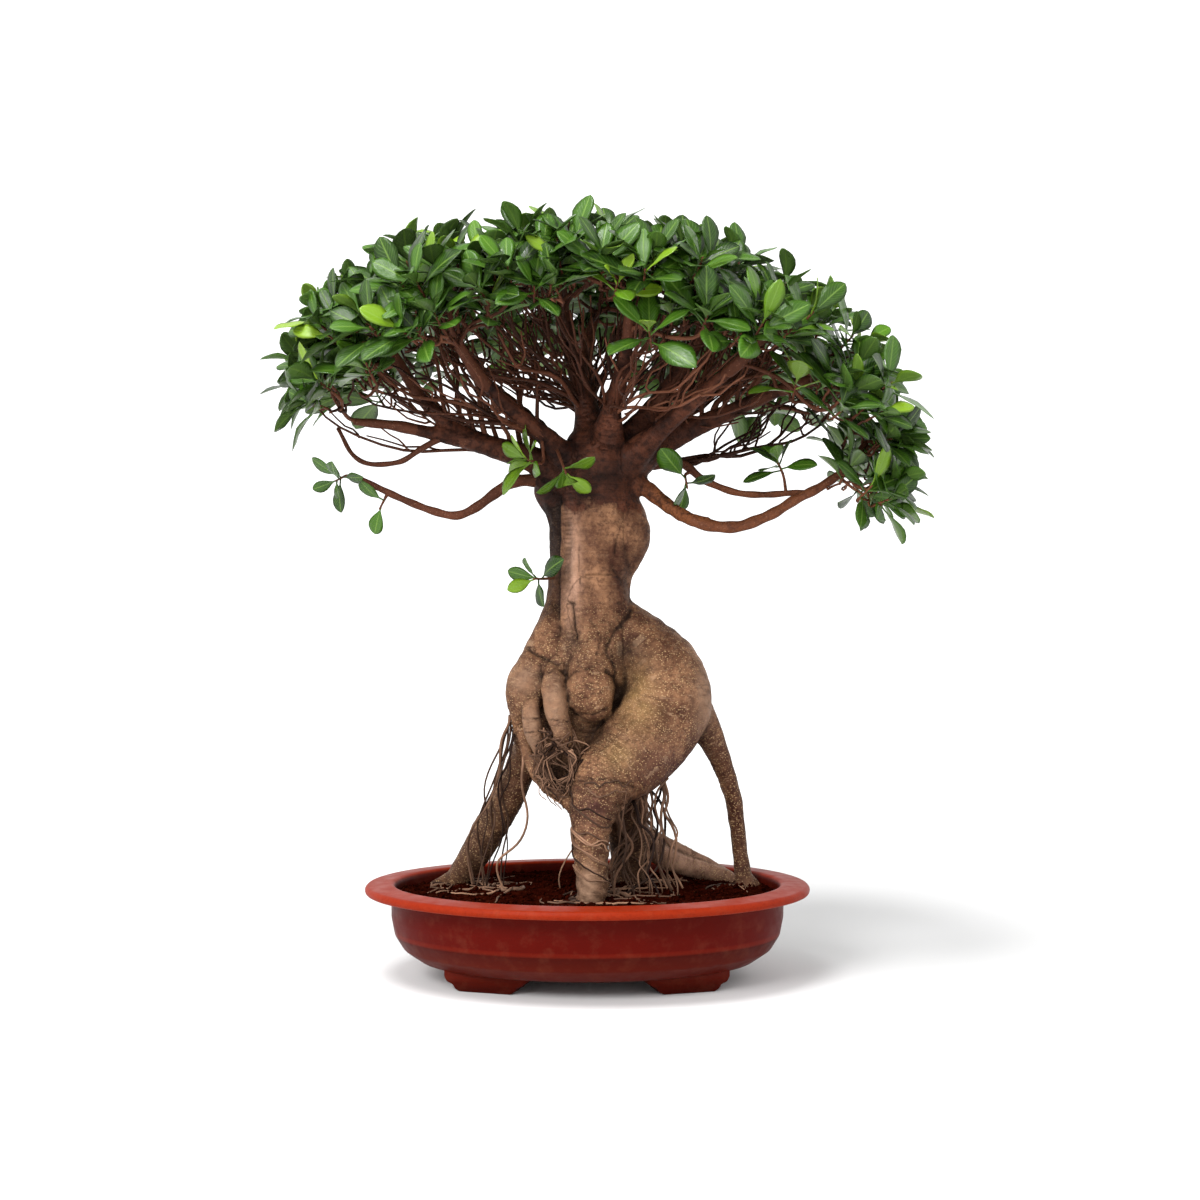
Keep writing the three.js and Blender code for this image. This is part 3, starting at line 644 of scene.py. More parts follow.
def bark_paint():
    """Tan, speckled bark on the roots, redder and rougher above the graft, with painted shade in the hollows,
    creases and shaded places and painted light on some patches.
    """
    paint = Paint("bark", roughness=0.62, specular=0.12)
    height = paint.axis("Z")
    mottle = paint.noise(26, 4, 0.72).span(0.36, 0.64)
    fine = paint.noise(170, 4, 0.75)
    paint.tint(mottle, (136, 98, 72), ground=(70, 44, 33))
    paint.tint(fine.span(0.46, 0.66, 0, 0.8), (64, 40, 31))
    paint.tint(height.span(0.1, 0.15, 0.5, 0), (60, 40, 31))
    ragged = paint.noise(60, 3, 0.75).span(0.3, 0.6, 0.4, 1)
    # Lays the patches: bark colours, painted highlights, painted light and painted shade.
    for name, (colour, share) in PATCH_TINTS.items():
        paint.tint(paint.number(name) * share * ragged, colour)
    # Darker bark and painted shade on the trunk behind its ridge, the more so higher up.
    paint.tint(paint.number("behind") * height.span(0.41, 0.44, 0.45, 0.95), (26, 14, 11))
    lower = height.span(0.345, 0.375, 1, 0.25)
    rings = paint.noise(1, 3, 0.6, paint.wound(300, 26))
    paint.tint(rings.span(0.54, 0.7, 0, 0.6) * lower, (58, 37, 29))
    hatching = paint.noise(1, 2, 0.5, paint.wound(620, 70))
    paint.tint(hatching.span(0.6, 0.7, 0, 0.36) * lower, (160, 130, 104))
    sparse = paint.noise(40, 3).span(0.3, 0.5, 0.1, 0.8) * height.span(0.35, 0.4, 1, 0.1)
    plain = paint.number("pale").span(0.2, 0.6, 1, 0)
    paint.tint(paint.cells(400, 1.4).span(0.16, 0.34, 1, 0) * sparse * plain, (178, 146, 106))
    graft = (height + paint.noise(34, 4, 0.7) * 0.06).span(0.511, 0.518)
    bough = height.span(0.44, 0.45) * paint.axis("X").span(0.05, 0.06)
    paint.tint(graft.most(bough), brown_bark(paint))
    # Painted shade: the hollows, the creases and the shade patches are darkened.
    crease = paint.number("crease") * paint.noise(95, 3).span(0.35, 0.6, 0.3, 1)
    dark = paint.number("hollow").most(paint.number("shade") * ragged).most(crease)
    paint.tint(dark * 0.88, (24, 14, 10))
    paint.set("Roughness", mottle.span(0, 1, 0.72, 0.5))
    paint.bump(rings, 0.0016, 0.9)
    paint.bump(fine, 0.001, 0.9)
    return paint.material


def twig_paint():
    """Red-brown bark with pale specks on the thin wood, each twig a little lighter or darker."""
    paint = Paint("twig_bark", roughness=0.6, specular=0.12)
    tone = paint.number("tone")
    paint.tint(0.35, (120, 72, 52), ground=brown_bark(paint))
    paint.tint(tone.span(0, 1, 0.85, 0), (20, 12, 10))
    paint.tint(tone.span(0.75, 1, 0, 0.5), (128, 84, 64))
    paint.tint(paint.cells(330).span(0.12, 0.24, 1, 0) * 0.35, (140, 106, 84))
    paint.bump(paint.noise(260, 4, 0.65), 0.0007, 0.9)
    return paint.material


def rootlet_paint():
    """Stringy roots, dark in places and pale tan in others."""
    paint = Paint("rootlets", roughness=0.7, specular=0.12)
    tone = paint.number("tone") * paint.noise(30, 3).span(0.35, 0.62, 0.4, 1)
    paint.tint(tone, (158, 120, 96), ground=(34, 22, 18))
    paint.bump(paint.noise(300, 3), 0.0004, 0.8)
    return paint.material


def leaf_paint():
    """Glossy leaves: each has its own green, a pale midrib, faint side veins and a duller underside."""
    paint = Paint("leaf", roughness=0.32, specular=0.3)
    tone = paint.number("tone")
    across = paint.number("across")
    young = paint.blend(tone, (74, 116, 22), (134, 164, 38))
    paint.tint(paint.number("youth"), young, ground=paint.blend(tone, (14, 34, 9), (58, 92, 24)))
    paint.tint(paint.noise(90, 3).span(0.4, 0.8, 0, 0.3), (72, 108, 30))
    paint.tint(paint.number("under") * 0.5, (92, 116, 64))
    rib = across.span(0.0, 0.12, 0.6, 0)
    slant = paint.node("ShaderNodeCombineXYZ", "Vector", paint.number("along_leaf") - across * 0.35)
    wave = paint.node("ShaderNodeTexWave", "Fac", Vector=slant, Scale=3.0, bands_direction="X")
    veins = wave.span(0.88, 1.0, 0, 0.25)
    paint.tint(rib.most(veins), (112, 142, 62))
    paint.set("Roughness", paint.noise(120, 2).span(0.3, 0.7, 0.26, 0.42))
    paint.bump(rib + veins, 0.0004, 0.6)
    paint.bump(paint.noise(160, 2), 0.0005, 0.4)
    return paint.material


def pot_paint():
    """Satin red-brown pot: an orange rim and a deeper body, with painted light low on the body, and painted
    shade low on the feet and on all within the rim's oval, the inner wall and the feet too.
    """
    paint = Paint("pot_clay", roughness=0.45, specular=0.05)
    height = paint.axis("Z")
    paint.tint(paint.noise(18, 4), (86, 18, 8), ground=(74, 13, 5))
    # Painted light from the floor: the body lighter low down.
    paint.tint(height.span(0.03, 0.052, 0.9, 0), (200, 64, 37))
    paint.tint(height.span(0.0865, 0.089), paint.blend(paint.noise(25, 4), (118, 34, 15), (132, 42, 20)))
    # Painted shade: the feet darker towards the floor.
    paint.tint(height.span(0.004, 0.014, 0.75, 0), (62, 22, 14))
    # Painted shade on all that lies within the rim's oval: the inner wall, the underside and the feet.
    half = (INSIDE + 2) * MM
    x = (paint.axis("X") - POT_X * MM) / half
    y = paint.axis("Y") / (half - OVAL * MM)
    paint.tint((x * x + y * y).span(0.985, 1.0, 0.9, 0), (52, 14, 9))
    paint.tint(paint.noise(420, 3).span(0.5, 0.75, 0, 0.35), (78, 18, 10))
    paint.tint(paint.noise(55, 3, 0.7).span(0.5, 0.75) * 0.1, (140, 86, 64))
    paint.set("Roughness", paint.noise(60, 4).span(0.3, 0.7, 0.36, 0.52))
    paint.bump(paint.noise(500, 3), 0.00014, 0.5)
    paint.bump(paint.noise(14, 2), 0.0008, 0.25)
    return paint.material


def soil_paint():
    """Damp red-brown crumbs."""
    paint = Paint("soil", roughness=0.95, specular=0.0)
    paint.tint(paint.noise(140, 4, 0.7).span(0.3, 0.7), (52, 20, 13), ground=(10, 4, 3))
    paint.tint(paint.noise(420, 2).span(0.64, 0.77, 0, 0.6), (98, 60, 42))
    paint.bump(paint.noise(380, 3, 0.7), 0.0016, 1.0)
    return paint.material


# The pot and its soil


def rounded(corners, radius, steps=4):
    """A profile whose corners are eased into short curves."""
    made = [corners[0]]
    for before, corner, after in zip(corners, corners[1:], corners[2:]):
        p, c, n = (np.array(q, float) for q in (before, corner, after))
        reach = min(radius, np.linalg.norm(p - c) * 0.45, np.linalg.norm(n - c) * 0.45)
        a = c + unit(p - c) * reach
        b = c + unit(n - c) * reach
        made += [tuple((1 - t) ** 2 * a + 2 * t * (1 - t) * c + t * t * b) for t in np.linspace(0, 1, steps)]
    return made + [corners[-1]]


def build_pot(paint):
    """The bowl, turned from a profile of (half length, height) and squeezed to its oval, and the feet."""
    reach = POT_HALF_LENGTH + RIM_REACH
    profile = rounded([
        (60, FOOT_HEIGHT), (FLOOR_HALF_LENGTH, FOOT_HEIGHT), (172, 19), (190, 31.5), (199, 46),
        (POT_HALF_LENGTH - 0.5, 64), (POT_HALF_LENGTH, RIM_LIP_LOW + 0.5), (reach - 1, RIM_LIP_LOW),
        (reach, RIM_LIP_LOW + 5), (reach - 3, RIM_TOP - 1.5), (POT_HALF_LENGTH, RIM_TOP),
        (INSIDE + 2, RIM_TOP - 1), (INSIDE, RIM_TOP - 5), (INSIDE, SOIL_EDGE - 4), (INSIDE - 11, 41),
        (INSIDE - 30, 25), (60, 19.5),
    ], 2.4, 5)
    columns = 160
    points = []
    for r, z in profile:
        squeeze = 1 - OVAL / max(r, FLOOR_HALF_LENGTH)
        points += [(POT_X + r * math.cos(a), r * squeeze * math.sin(a), z) for a in circle(columns)]
    ends = [range(columns)[::-1], range(len(points) - columns, len(points))]
    piece("pot_bowl", points, quads(len(profile), columns) + ends, paint, ["pot"])
    for side in (-1, 1):
        for face in (-1, 1):
            build_foot(side, face, paint)


def build_foot(side, face, paint):
    """A bracket foot with stepped ends, its edges rounded."""
    corners = [(0, 0), (27, 0), (32, 3), (34, 7), (40, 9), (43, 14), (43, 22), (0, 22)]
    half = rounded(corners, 2.0, 4)[1:-1]
    ring = half + [(-x, z) for x, z in half[::-1]]
    turn = -side * face * FOOT_TURN
    points = []
    for y, inset in ((-FOOT_HALF_THICK, 1.5), (1.5 - FOOT_HALF_THICK, 0), (FOOT_HALF_THICK - 1.5, 0),
                     (FOOT_HALF_THICK, 1.5)):
        for x, z in ring:
            x = x - math.copysign(inset, x)
            z = max(z, inset * 0.6) if z < 11 else z - inset * 0.6
            points.append((POT_X + side * FOOT_X + x * math.cos(turn) - y * math.sin(turn),
                           face * FOOT_Y + x * math.sin(turn) + y * math.cos(turn), z))
    n = len(ring)
    faces = [range(n), range(3 * n, 4 * n)[::-1], *((b, a, d, c) for a, b, c, d in quads(4, n))]
    name = f"pot_foot_{'right' if side > 0 else 'left'}_{'rear' if face > 0 else 'front'}"
    piece(name, points, faces, paint)


def lumps(x, y, scale):
    """Smooth repeatable roughness made of crossing waves."""
    total = 0
    for k in range(7):
        a = 2 * math.pi * draw(k + 40)
        f = scale * (0.6 + 1.3 * draw(k + 60))
        total = total + np.sin((x * math.cos(a) + y * math.sin(a)) * f + 6.3 * draw(k + 80))
    return total / 7


def soil_height(x, y):
    """The soil's top: a low mound from the wall to the roots, with crumbs."""
    share = np.clip(np.hypot((x - POT_X) / INSIDE, y / (INSIDE - OVAL)), 0, 1)
    mound = SOIL_EDGE + (SOIL_TOP - SOIL_EDGE) * (1 - share) + 1.6 * np.sin(x * 0.11 + 2) * np.cos(y * 0.13)
    return mound + 1.4 * lumps(x, y, 0.25) + 0.9 * lumps(x + 31, y - 17, 0.8) - 1.0


def build_soil(paint):
    half = INSIDE - 0.4
    depth = half - OVAL
    rings, columns = 64, 200
    points = [(POT_X, 0.0)]
    for i in range(1, rings + 1):
        for k in range(columns):
            a = 2 * math.pi * (k + 0.5 * (i % 2)) / columns
            points.append((POT_X + half * i / rings * math.cos(a), depth * i / rings * math.sin(a)))
    x, y = np.array(points).T
    top = np.column_stack([x, y, soil_height(x, y)])
    skirt = top[-columns:].copy()
    skirt[:, 2] = SOIL_EDGE - 8
    faces = disc(rings + 1, columns) + [range(len(top), len(top) + columns)[::-1]]
    piece("soil_bed", np.vstack([top, skirt]), faces, paint, ["soil"])
    bag = Bag()
    for n in range(CRUMBS):
        r = math.sqrt(draw(3 * n + 1000)) * (half - 3)
        a = 2 * math.pi * draw(3 * n + 1001)
        x, y = POT_X + r * math.cos(a), r * (depth - 3) / (half - 3) * math.sin(a)
        size = 0.8 + 2.8 * draw(3 * n + 1002) ** 3
        bag.add(*crumb((x, y, soil_height(x, y) + size * 0.3), size, n))
    bag.finish("soil_crumbs", paint)


def crumb(centre, size, seed):
    """A small angular lump."""
    corners = np.array([(0, 0, 1), (1, 0, 0), (0, 1, 0), (-1, 0, 0), (0, -1, 0), (0, 0, -1)], float)
    corners *= [[0.7 + 0.6 * draw(seed * 6 + i)] for i in range(6)]
    turn = 6.3 * draw(seed + 77)
    c, s = math.cos(turn), math.sin(turn)
    spin = np.array([[c, -s, 0.2], [s, c, 0], [0, 0, 0.8]])
    faces = [(0, 1, 2), (0, 2, 3), (0, 3, 4), (0, 4, 1), (5, 2, 1), (5, 3, 2), (5, 4, 3), (5, 1, 4)]
    return corners @ spin.T * size + np.array(centre), faces


# The wood


def build_rootstock(paint):
    """The swollen roots, the trunk and the thick ends of the boughs, melted into one skin."""
    bag = Bag()
    for i, stations in enumerate(ROOTSTOCK.values()):
        bag.add(*tube(*spline(stations, 8 * len(stations)), 28, 0.025, i * 2.1))
    for spot in BULGES.values():
        bag.add(*ball(spot[:3], spot[3:]))
    for i, stations in enumerate(BOUGHS.values()):
        line, radii = spline(stations, 6 * len(stations))
        thick = radii > SKIN_FROM
        if thick.sum() > 3:
            bag.add(*tube(line[thick], radii[thick], 16, 0.04, i * 1.3))
    made = bag.finish("rootstock", paint, ["tree"])
    remesh = made.modifiers.new("skin", "REMESH")
    remesh.mode = "VOXEL"
    remesh.voxel_size = 2.3 * MM
    soften = made.modifiers.new("soften", "SMOOTH")
    soften.factor = 0.5
    soften.iterations = 2
    graph = bpy.context.evaluated_depsgraph_get()
    mesh = bpy.data.meshes.new_from_object(made.evaluated_get(graph))
    made.modifiers.clear()
    made.data = mesh
    carve(made)
    return painted(made, paint)


def wound_on_limbs(points):
    """For each point, how far it is along the limb that it lies on and around it, in millimetres."""
    best = np.full(len(points), np.inf)
    along, around = np.zeros(len(points)), np.zeros(len(points))
    start = 0.0
    for stations in [*ROOTSTOCK.values(), *BOUGHS.values()]:
        line, radii = spline(stations, 4 * len(stations))
        run = start + distances(line)
        start = run[-1] + 40
        for i in range(len(line) - 1):
            way = line[i + 1] - line[i]
            share = np.clip((points - line[i]) @ way / way.dot(way), 0, 1)
            out = points - (line[i] + share[:, None] * way)
            apart = np.abs(np.linalg.norm(out, axis=1) - radii[i])
            back = unit(np.cross(np.cross(way, (0.0, 1.0, 0.0)), way))
            turn = np.arctan2(out @ np.cross(unit(way), back), -(out @ back))
            closer = apart < best
            best[closer] = apart[closer]
            along[closer] = (run[i] + share * (run[i + 1] - run[i]))[closer]
            around[closer] = (turn * radii[i])[closer]
    return along, around


def apart_from(line, flat):
    """How far points of the front's plane lie from a line of it."""
    nearest = np.full(len(flat), np.inf)
    for a, b in zip(line, line[1:]):
        way = np.subtract(b, a)
        share = np.clip((flat - a) @ way / way.dot(way), 0, 1)
        nearest = np.minimum(nearest, np.linalg.norm(flat - a - share[:, None] * way, axis=1))
    return nearest


def carve(made):
    """Folds, wrinkles and creases of the old bark, pushed along the skin's normals."""
    mesh = made.data
    points = read(mesh.vertices, "co") / MM
    points = relaxed(mesh, points, 12, 0.12 + 0.4 * ramp(points[:, 2], 340, 40)[:, None])
    write_points(mesh, points)
    normals = read(mesh.vertex_normals, "vector")
    x, y, z = points.T
    along, around = wound_on_limbs(points)
    facing = np.clip(-2 * normals[:, 1] + 0.2, 0, 1)
    nearer = CAMERA_BACK / (CAMERA_BACK + y)
    flat = np.column_stack([x * nearer, CAMERA_HEIGHT + (z - CAMERA_HEIGHT) * nearer])
    flat += 1.2 * np.column_stack([lumps(x, z, 0.2), lumps(z, x, 0.23)])
    # Where the trunk lies behind its ridge: pushed in a little, and given darker bark and painted shade in
    # the paint.
    behind = ramp(-flat[:, 0], 38, 2.5) * ramp(z, 366, 14)
    crease, pressed = np.zeros(len(points)), 2.0 * behind * facing * ramp(-z, -500, 14)
    for line, width, depth in CREASES.values():
        near = np.exp(-(apart_from(line, flat) / width) ** 2) * facing
        pressed = np.where(near * abs(depth) > abs(pressed), near * depth, pressed)
        if depth > 0:
            crease = np.maximum(crease, near)
    wave = lumps(x + 0.5 * z, y - 0.4 * z, 0.05) + 0.6 * lumps(x - 0.7 * z, y + 0.6 * z, 0.14)
    knots = lumps(x + 0.3 * z, y + z, 0.33)
    wrinkle = np.sin(along * 0.9 + 3 * lumps(x, y + z, 0.06)) * np.clip(lumps(z, x, 0.05) + 0.3, 0, 1)
    flutes = np.sin(np.arctan2(y, x + 4) * 9 + 0.02 * z + 2 * lumps(x, z, 0.03)) * ramp(z, 370, 40)
    folds = np.sin(0.5 * z + 0.34 * x + 2.5 * lumps(x, z, 0.05)) * ramp(-y, 45, 12) * ramp(-z, -205, 20)
    below = ramp(-z, -500, 30)
    rough = 1.3 * wave + 0.6 * knots + 0.4 * wrinkle * below + 0.6 * flutes * below + 0.7 * folds
    points += normals * (rough - pressed)[:, None]
    write_points(mesh, points)
    # How deep each point lies in a hollow, and the creases: the bark's paint darkens both as painted shade.
    depth = ((relaxed(mesh, points, 10, 1.0) - points) * read(mesh.vertex_normals, "vector")).sum(axis=1)
    numbers = {"along": along * MM, "around": around * MM, "crease": crease ** 2, "behind": behind,
               "hollow": np.clip(depth / 1.5, 0, 1)}
    for name, spots in PATCHES.items():
        near = [np.exp(-(((points - spot[:3]) / spot[3:]) ** 2).sum(axis=1)) for spot in spots]
        numbers[name] = np.max(near, axis=0)
    for name, values in numbers.items():
        attribute(made, name, values)


# The crown's shoots, by nearly the same rule as in the part's own source


def crown_shoots():
    shoots = []
    for i in range(SHOOTS):
        turn = i * GOLDEN_ANGLE
        c, s = math.cos(turn), math.sin(turn)
        ends = CROWN_EDGE["right" if c > 0 else "left"]
        sides = CROWN_EDGE["front" if s < 0 else "back"]
        edge = sides + (ends - sides) * abs(c)
        rise = 1 - (i + 0.5) / SHOOTS * (1 - edge)
        spread = math.sqrt(1 - rise * rise) ** CROWN_SQUARENESS
        x = CROWN_HALF_WIDTH * spread * c
        y = CROWN_HALF_DEPTH * spread * s
        lift = math.copysign(abs(rise) ** CROWN_SQUARENESS, rise)
        z = CROWN_BASE + CROWN_HEIGHT * lift - CROWN_DROOP * max(0, x) ** 2 / CROWN_HALF_WIDTH
        aim = unit((x / CROWN_HALF_WIDTH, y / CROWN_HALF_DEPTH, 0.7 + rise))
        shoots.append(SimpleNamespace(
            node=f"leaves_crown_{i + 1:02d}", at=np.array([x, y, z]), aim=aim, leaves=10, size=1.0,
            seed=i + 9, young=0.0))
    return shoots


def fill_shoots(shoots):
    """Smaller shoots round each shoot that close the crown. None hangs below its shoot or out in front."""
    made = []
    for shoot in shoots:
        side = unit(np.cross(shoot.aim, (0.0, 0.0, 1.0)) + (1e-3, 0, 0))
        other = np.cross(shoot.aim, side)
        for k in range(FILL_SHOOTS):
            n = shoot.seed * 7 + k
            turn = 2 * math.pi * (k / FILL_SHOOTS + 0.25 * draw(n + 200))
            out = side * math.cos(turn) + other * math.sin(turn)
            at = shoot.at + out * FILL_REACH * (0.7 + 0.5 * draw(n + 300))
            at -= shoot.aim * (4 + 20 * draw(n + 400))
            at = np.clip(at, (-FILL_WIDEST, -FILL_DEEPEST, shoot.at[2] - 14),
                         (FILL_WIDEST, FILL_DEEPEST, shoot.at[2] + 10))
            made.append(SimpleNamespace(
                node=shoot.node, at=at, aim=unit(shoot.aim + 0.5 * out + (0, 0, 0.2)), seed=n + 900,
                leaves=5 + int(3 * draw(n + 500)), size=0.78 + 0.3 * draw(n + 600),
                young=0.8 if draw(n + 700) > 0.95 else 0.0))
    return made


def fan_shoots(shoots):
    """The ends of the long thin branches, a little way below the leaves."""
    made = []
    high = [shoot for shoot in shoots if shoot.at[2] > FAN_LOWEST]
    for n in range(FAN_BRANCHES):
        shoot = high[n % len(high)]
        scatter = np.array([draw(n * 5 + k + 2000) - 0.5 for k in range(3)]) * (90, 90, 50)
        at = CROWN_ROOT + (shoot.at - CROWN_ROOT) * (0.7 + 0.22 * draw(n + 2900)) + scatter
        made.append(SimpleNamespace(at=at, aim=unit(shoot.aim + (0, 0, 0.6))))
    return made


def side_shoots():
    return [SimpleNamespace(
        node=f"leaves_{name}", at=np.array(at, float), aim=unit(aim), leaves=leaves, size=size, seed=i,
        young=young) for i, (name, (at, aim, leaves, size, young)) in enumerate(SIDE_SHOOTS.items())]


# The branches


def bough_points():
    """Where twigs may start: a point, its heading, its way from the trunk's head and the twig it is on."""
    points = []
    for stations in BOUGHS.values():
        line = spline(stations, 5 * len(stations) + 1)[0]
        step = distances(line)[-1] / (len(line) - 1)
        start = np.linalg.norm(CROWN_ROOT - line[0])
        tangents = unit(np.gradient(line, axis=0))
        points += [(line[i], tangents[i], start + i * step, None) for i in range(4, len(line), 5)]
    return points


def grow_twigs(shoots, wood, balance):
    """Joins each shoot to the wood by one twig, nearest first, and adds the twigs' own points to the wood."""
    twigs = []
    for shoot in sorted(shoots, key=lambda s: np.linalg.norm(s.at - CROWN_ROOT)):
        places, headings, alongs, _ = zip(*wood)
        way = shoot.at - np.array(places)
        length = np.linalg.norm(way, axis=1)
        backward = np.maximum(0, 0.3 - (way / length[:, None] * np.array(headings)).sum(axis=1))
        height = min(1, max(0.08, (shoot.at[2] - 530) / 60))
        effort = length * (1 + 2 * backward) + balance * height * np.array(alongs)
        cost = np.where(length > 18, effort, np.inf)
        best = int(np.argmin(cost))
        start, heading, along, parent = wood[best]
        reach = length[best]
        line = bezier(start, start + heading * reach * 0.35, shoot.at - shoot.aim * reach * 0.3, shoot.at, 13)
        twig = SimpleNamespace(line=line, parent=parent, load=0)
        twigs.append(twig)
        wood += [(line[i], unit(line[i + 1] - line[i - 1]), along + reach * i / 12, twig) for i in (4, 6, 9)]
        while twig:
            twig.load += 1
            twig = twig.parent
    return twigs


def build_branches(paint, shoots, fills, fans, sides):
    """All the boughs, branches and twigs as tapering tubes, and the stem that carries each shoot's leaves."""
    bag = Bag()
    for i, stations in enumerate(BOUGHS.values()):
        line, radii = spline(stations, 7 * len(stations))
        radii = np.where(radii > SKIN_FROM + 0.5, radii - 2, radii)
        knots = 1 + 0.07 * np.sin(np.arange(len(line)) * 0.9 + i)
        bag.add(*tube(wiggle(line, 1.2, i), radii * knots, 12, 0.05, i), tone=0.7)
    wood = bough_points()
    for i, twig in enumerate(grow_twigs(fans, list(wood), FAN_BALANCE)):
        line = wiggle(twig.line, 4.5, i + 400)
        bag.strand(line, 1.9 + 2 * draw(i + 90) ** 3, 1.1, 6, i, draw(i + 930))
        for k in (5, 7, 9):
            fork(bag, line, k, i * 4 + k, draw(i + 930))
    for i, twig in enumerate(grow_twigs(shoots, wood, TWIG_BALANCE)):
        thick = TWIG_RADIUS * math.sqrt(twig.load + 0.6)
        bag.strand(wiggle(twig.line, 2.0, i + 50), thick, TWIG_RADIUS, 8, i, 0.4 + 0.6 * draw(i + 950))
    for i, twig in enumerate(grow_twigs(fills, wood, FILL_BALANCE)):
        thick = 1.15 * math.sqrt(twig.load + 0.4)
        bag.strand(wiggle(twig.line, 2.6, i + 150), thick, 1.1, 6, i, draw(i + 970))
    for i, line in enumerate(risers()):
        bag.strand(line, 3.6 - 1.2 * draw(i + 70), 1.3, 8, i, 0.5 + 0.5 * draw(i + 20), 0.06)
        for k in (6, 8, 10):
            fork(bag, line, k, i * 5 + k + 800, 0.7)
    for i, shoot in enumerate(sides):
        start = nearest_wood(shoot.at)
        way = shoot.at - start
        bend = shoot.at - shoot.aim * np.linalg.norm(way) * 0.33
        bag.strand(bezier(start, start + way * 0.33, bend, shoot.at, 9), 2.0, 1.5, 6, i, 0.8)
    for i, shoot in enumerate([*shoots, *fills, *sides]):
        line = shoot.at + shoot.aim * np.linspace(-0.1, 1, 4)[:, None] * CORE_LENGTH * shoot.size
        bag.strand(line, 1.5, 1.0, 5, i, 0.8)
    bag.finish("branches", paint, ["tree"])


def risers():
    """Straight young branches that stand on the two main boughs and reach up into the leaves."""
    for side, (bough, reach) in enumerate((("left", 112), ("right", 62))):
        points = spline(BOUGHS[bough], 40)[0]
        for n in range(RISERS):
            seed = side * 40 + n
            start = points[7 + 2 * n]
            lean = (start[0] - CROWN_ROOT[0]) * (0.1 + 0.35 * draw(seed + 61))
            top = start + (lean, 90 * (draw(seed + 63) - 0.5), reach + 40 * draw(seed + 65))
            yield wiggle(bezier(start, start + (0, 0, 40), top - (0, 0, 50), top, 13), 3.5, seed)


def fork(bag, line, k, seed, tone):
    """A thin twig that leaves a branch at its point k and bends back along it."""
    heading = unit(line[k + 1] - line[k])
    aside = unit(np.array([draw(seed * 3 + j + 5000) - 0.5 for j in range(3)]) + (0, 0, 0.25))
    length = 34 + 40 * draw(seed + 5500)
    middle = line[k] + (0.6 * heading + 0.7 * aside) * length * 0.5
    end = middle + unit(heading + 0.2 * aside + (0, 0, 0.4)) * length * 0.6
    twig = wiggle(bezier(line[k], line[k] + aside * length * 0.25, middle, end, 8), 1.5, seed)
    bag.strand(twig, 1.4, 0.8, 5, seed, tone)


def nearest_wood(place):
    limbs = [*BOUGHS.values(), ROOTSTOCK["trunk"], ROOTSTOCK["rear_trunk"]]
    points = np.concatenate([spline(stations, 4 * len(stations))[0] for stations in limbs])
    return points[np.argmin(np.linalg.norm(points - place, axis=1))]


# The thin roots


def hugged(line, skin, clearance, cling=False):
    """A line kept outside the wood, and drawn onto its bark where it clings."""
    made = []
    for place in line:
        hit, normal, _, _ = skin.find_nearest(Vector(place * MM))
        surface, out = np.array(hit) / MM, np.array(normal)
        if cling or (place - surface).dot(out) < clearance:
            place = surface + out * clearance
        made.append(place)
    made = np.array(made)
    made[1:-1] = (made[:-2] + 2 * made[1:-1] + made[2:]) / 4
    return made


def chances(seed, *spans):
    """One repeatable draw within each span."""
    return np.array([low + (high - low) * draw(seed * 7 + k + 9000) for k, (low, high) in enumerate(spans)])


def on_bark(place, skin):
    return np.array(skin.find_nearest(Vector(place * MM))[0]) / MM


def hanging_roots(skin):
    """The rootlets of the frame and the fringe below the hip and knee."""
    for i, points in enumerate(ROOTLETS):
        line = spline([(*p, ROOTLET_RADIUS) for p in points], 30)[0]
        yield hugged(wiggle(line, 1.5, i), skin, 1.0), ROOTLET_RADIUS, 1.1
    for n in range(28):
        top = on_bark(chances(n, (-12, 72), (-34, 14), (200, 216)), skin)
        end = chances(n + 50, (-50, 36), (-34, 26), (90, 92)) + (top[0], top[1], 0)
        low = chances(n + 100, (-26, 26), (-26, 8), (-50, -20))
        line = bezier(top, top + low, end + (0.8 * low[1], 0.6 * low[0], 34), end, 22)
        yield hugged(wiggle(line, 6, n + 20), skin, 0.6), *chances(n + 150, (0.8, 2.1), (0.6, 1.1))


def left_roots(skin):
    """The strands that hang beside the left leg."""
    for n in range(8):
        top = on_bark(chances(n + 200, (-96, -86), (-14, 2), (244, 282)), skin)
        end = chances(n + 220, (-150, -86), (0, 34), (89, 91))
        down, up = (-26 * draw(n + 230), -8, -46), (26 - 50 * draw(n + 240), 0, 70)
        line = bezier(top, top + down, end + up, end, 26)
        yield hugged(wiggle(line, 5, n + 60), skin, 0.7), *chances(n + 250, (0.9, 1.4), (0.7, 0.9))


def clinging_roots(skin):
    """The tangle in the hollow between the legs, and the strands wrapped round the front leg and the knee."""
    for n in range(60):
        start = chances(n + 300, (-64, -22), (-48, -30), (216, 262))
        end = start + chances(n + 350, (-18, 24), (-4, 4), (-52, -22))
        line = wiggle(np.linspace(start, end, 18), 7, n + 70)
        yield hugged(line, skin, 0.5 + 5.5 * draw(n + 320), cling=True), 0.9, 0.5
    for n in range(9):
        top, drop, first = chances(n + 400, (124, 214), (16, 56), (2.4, 3.4))
        angles = np.linspace(first, first + 3.2, 22)
        heights = top - drop * np.linspace(0, 1, 22)
        line = np.column_stack([-8 + 30 * np.cos(angles), -62 + 30 * np.sin(angles), heights])
        yield hugged(wiggle(line, 3, n + 120), skin, 0.3, cling=True), 1.2, 0.7
    for start, end in (((-26, -80, 214), (40, -90, 204)), ((-22, -80, 205), (44, -90, 192))):
        line = wiggle(np.linspace(start, end, 26), 4, start[2])
        yield hugged(line, skin, 0.3, cling=True), 1.1, 0.6


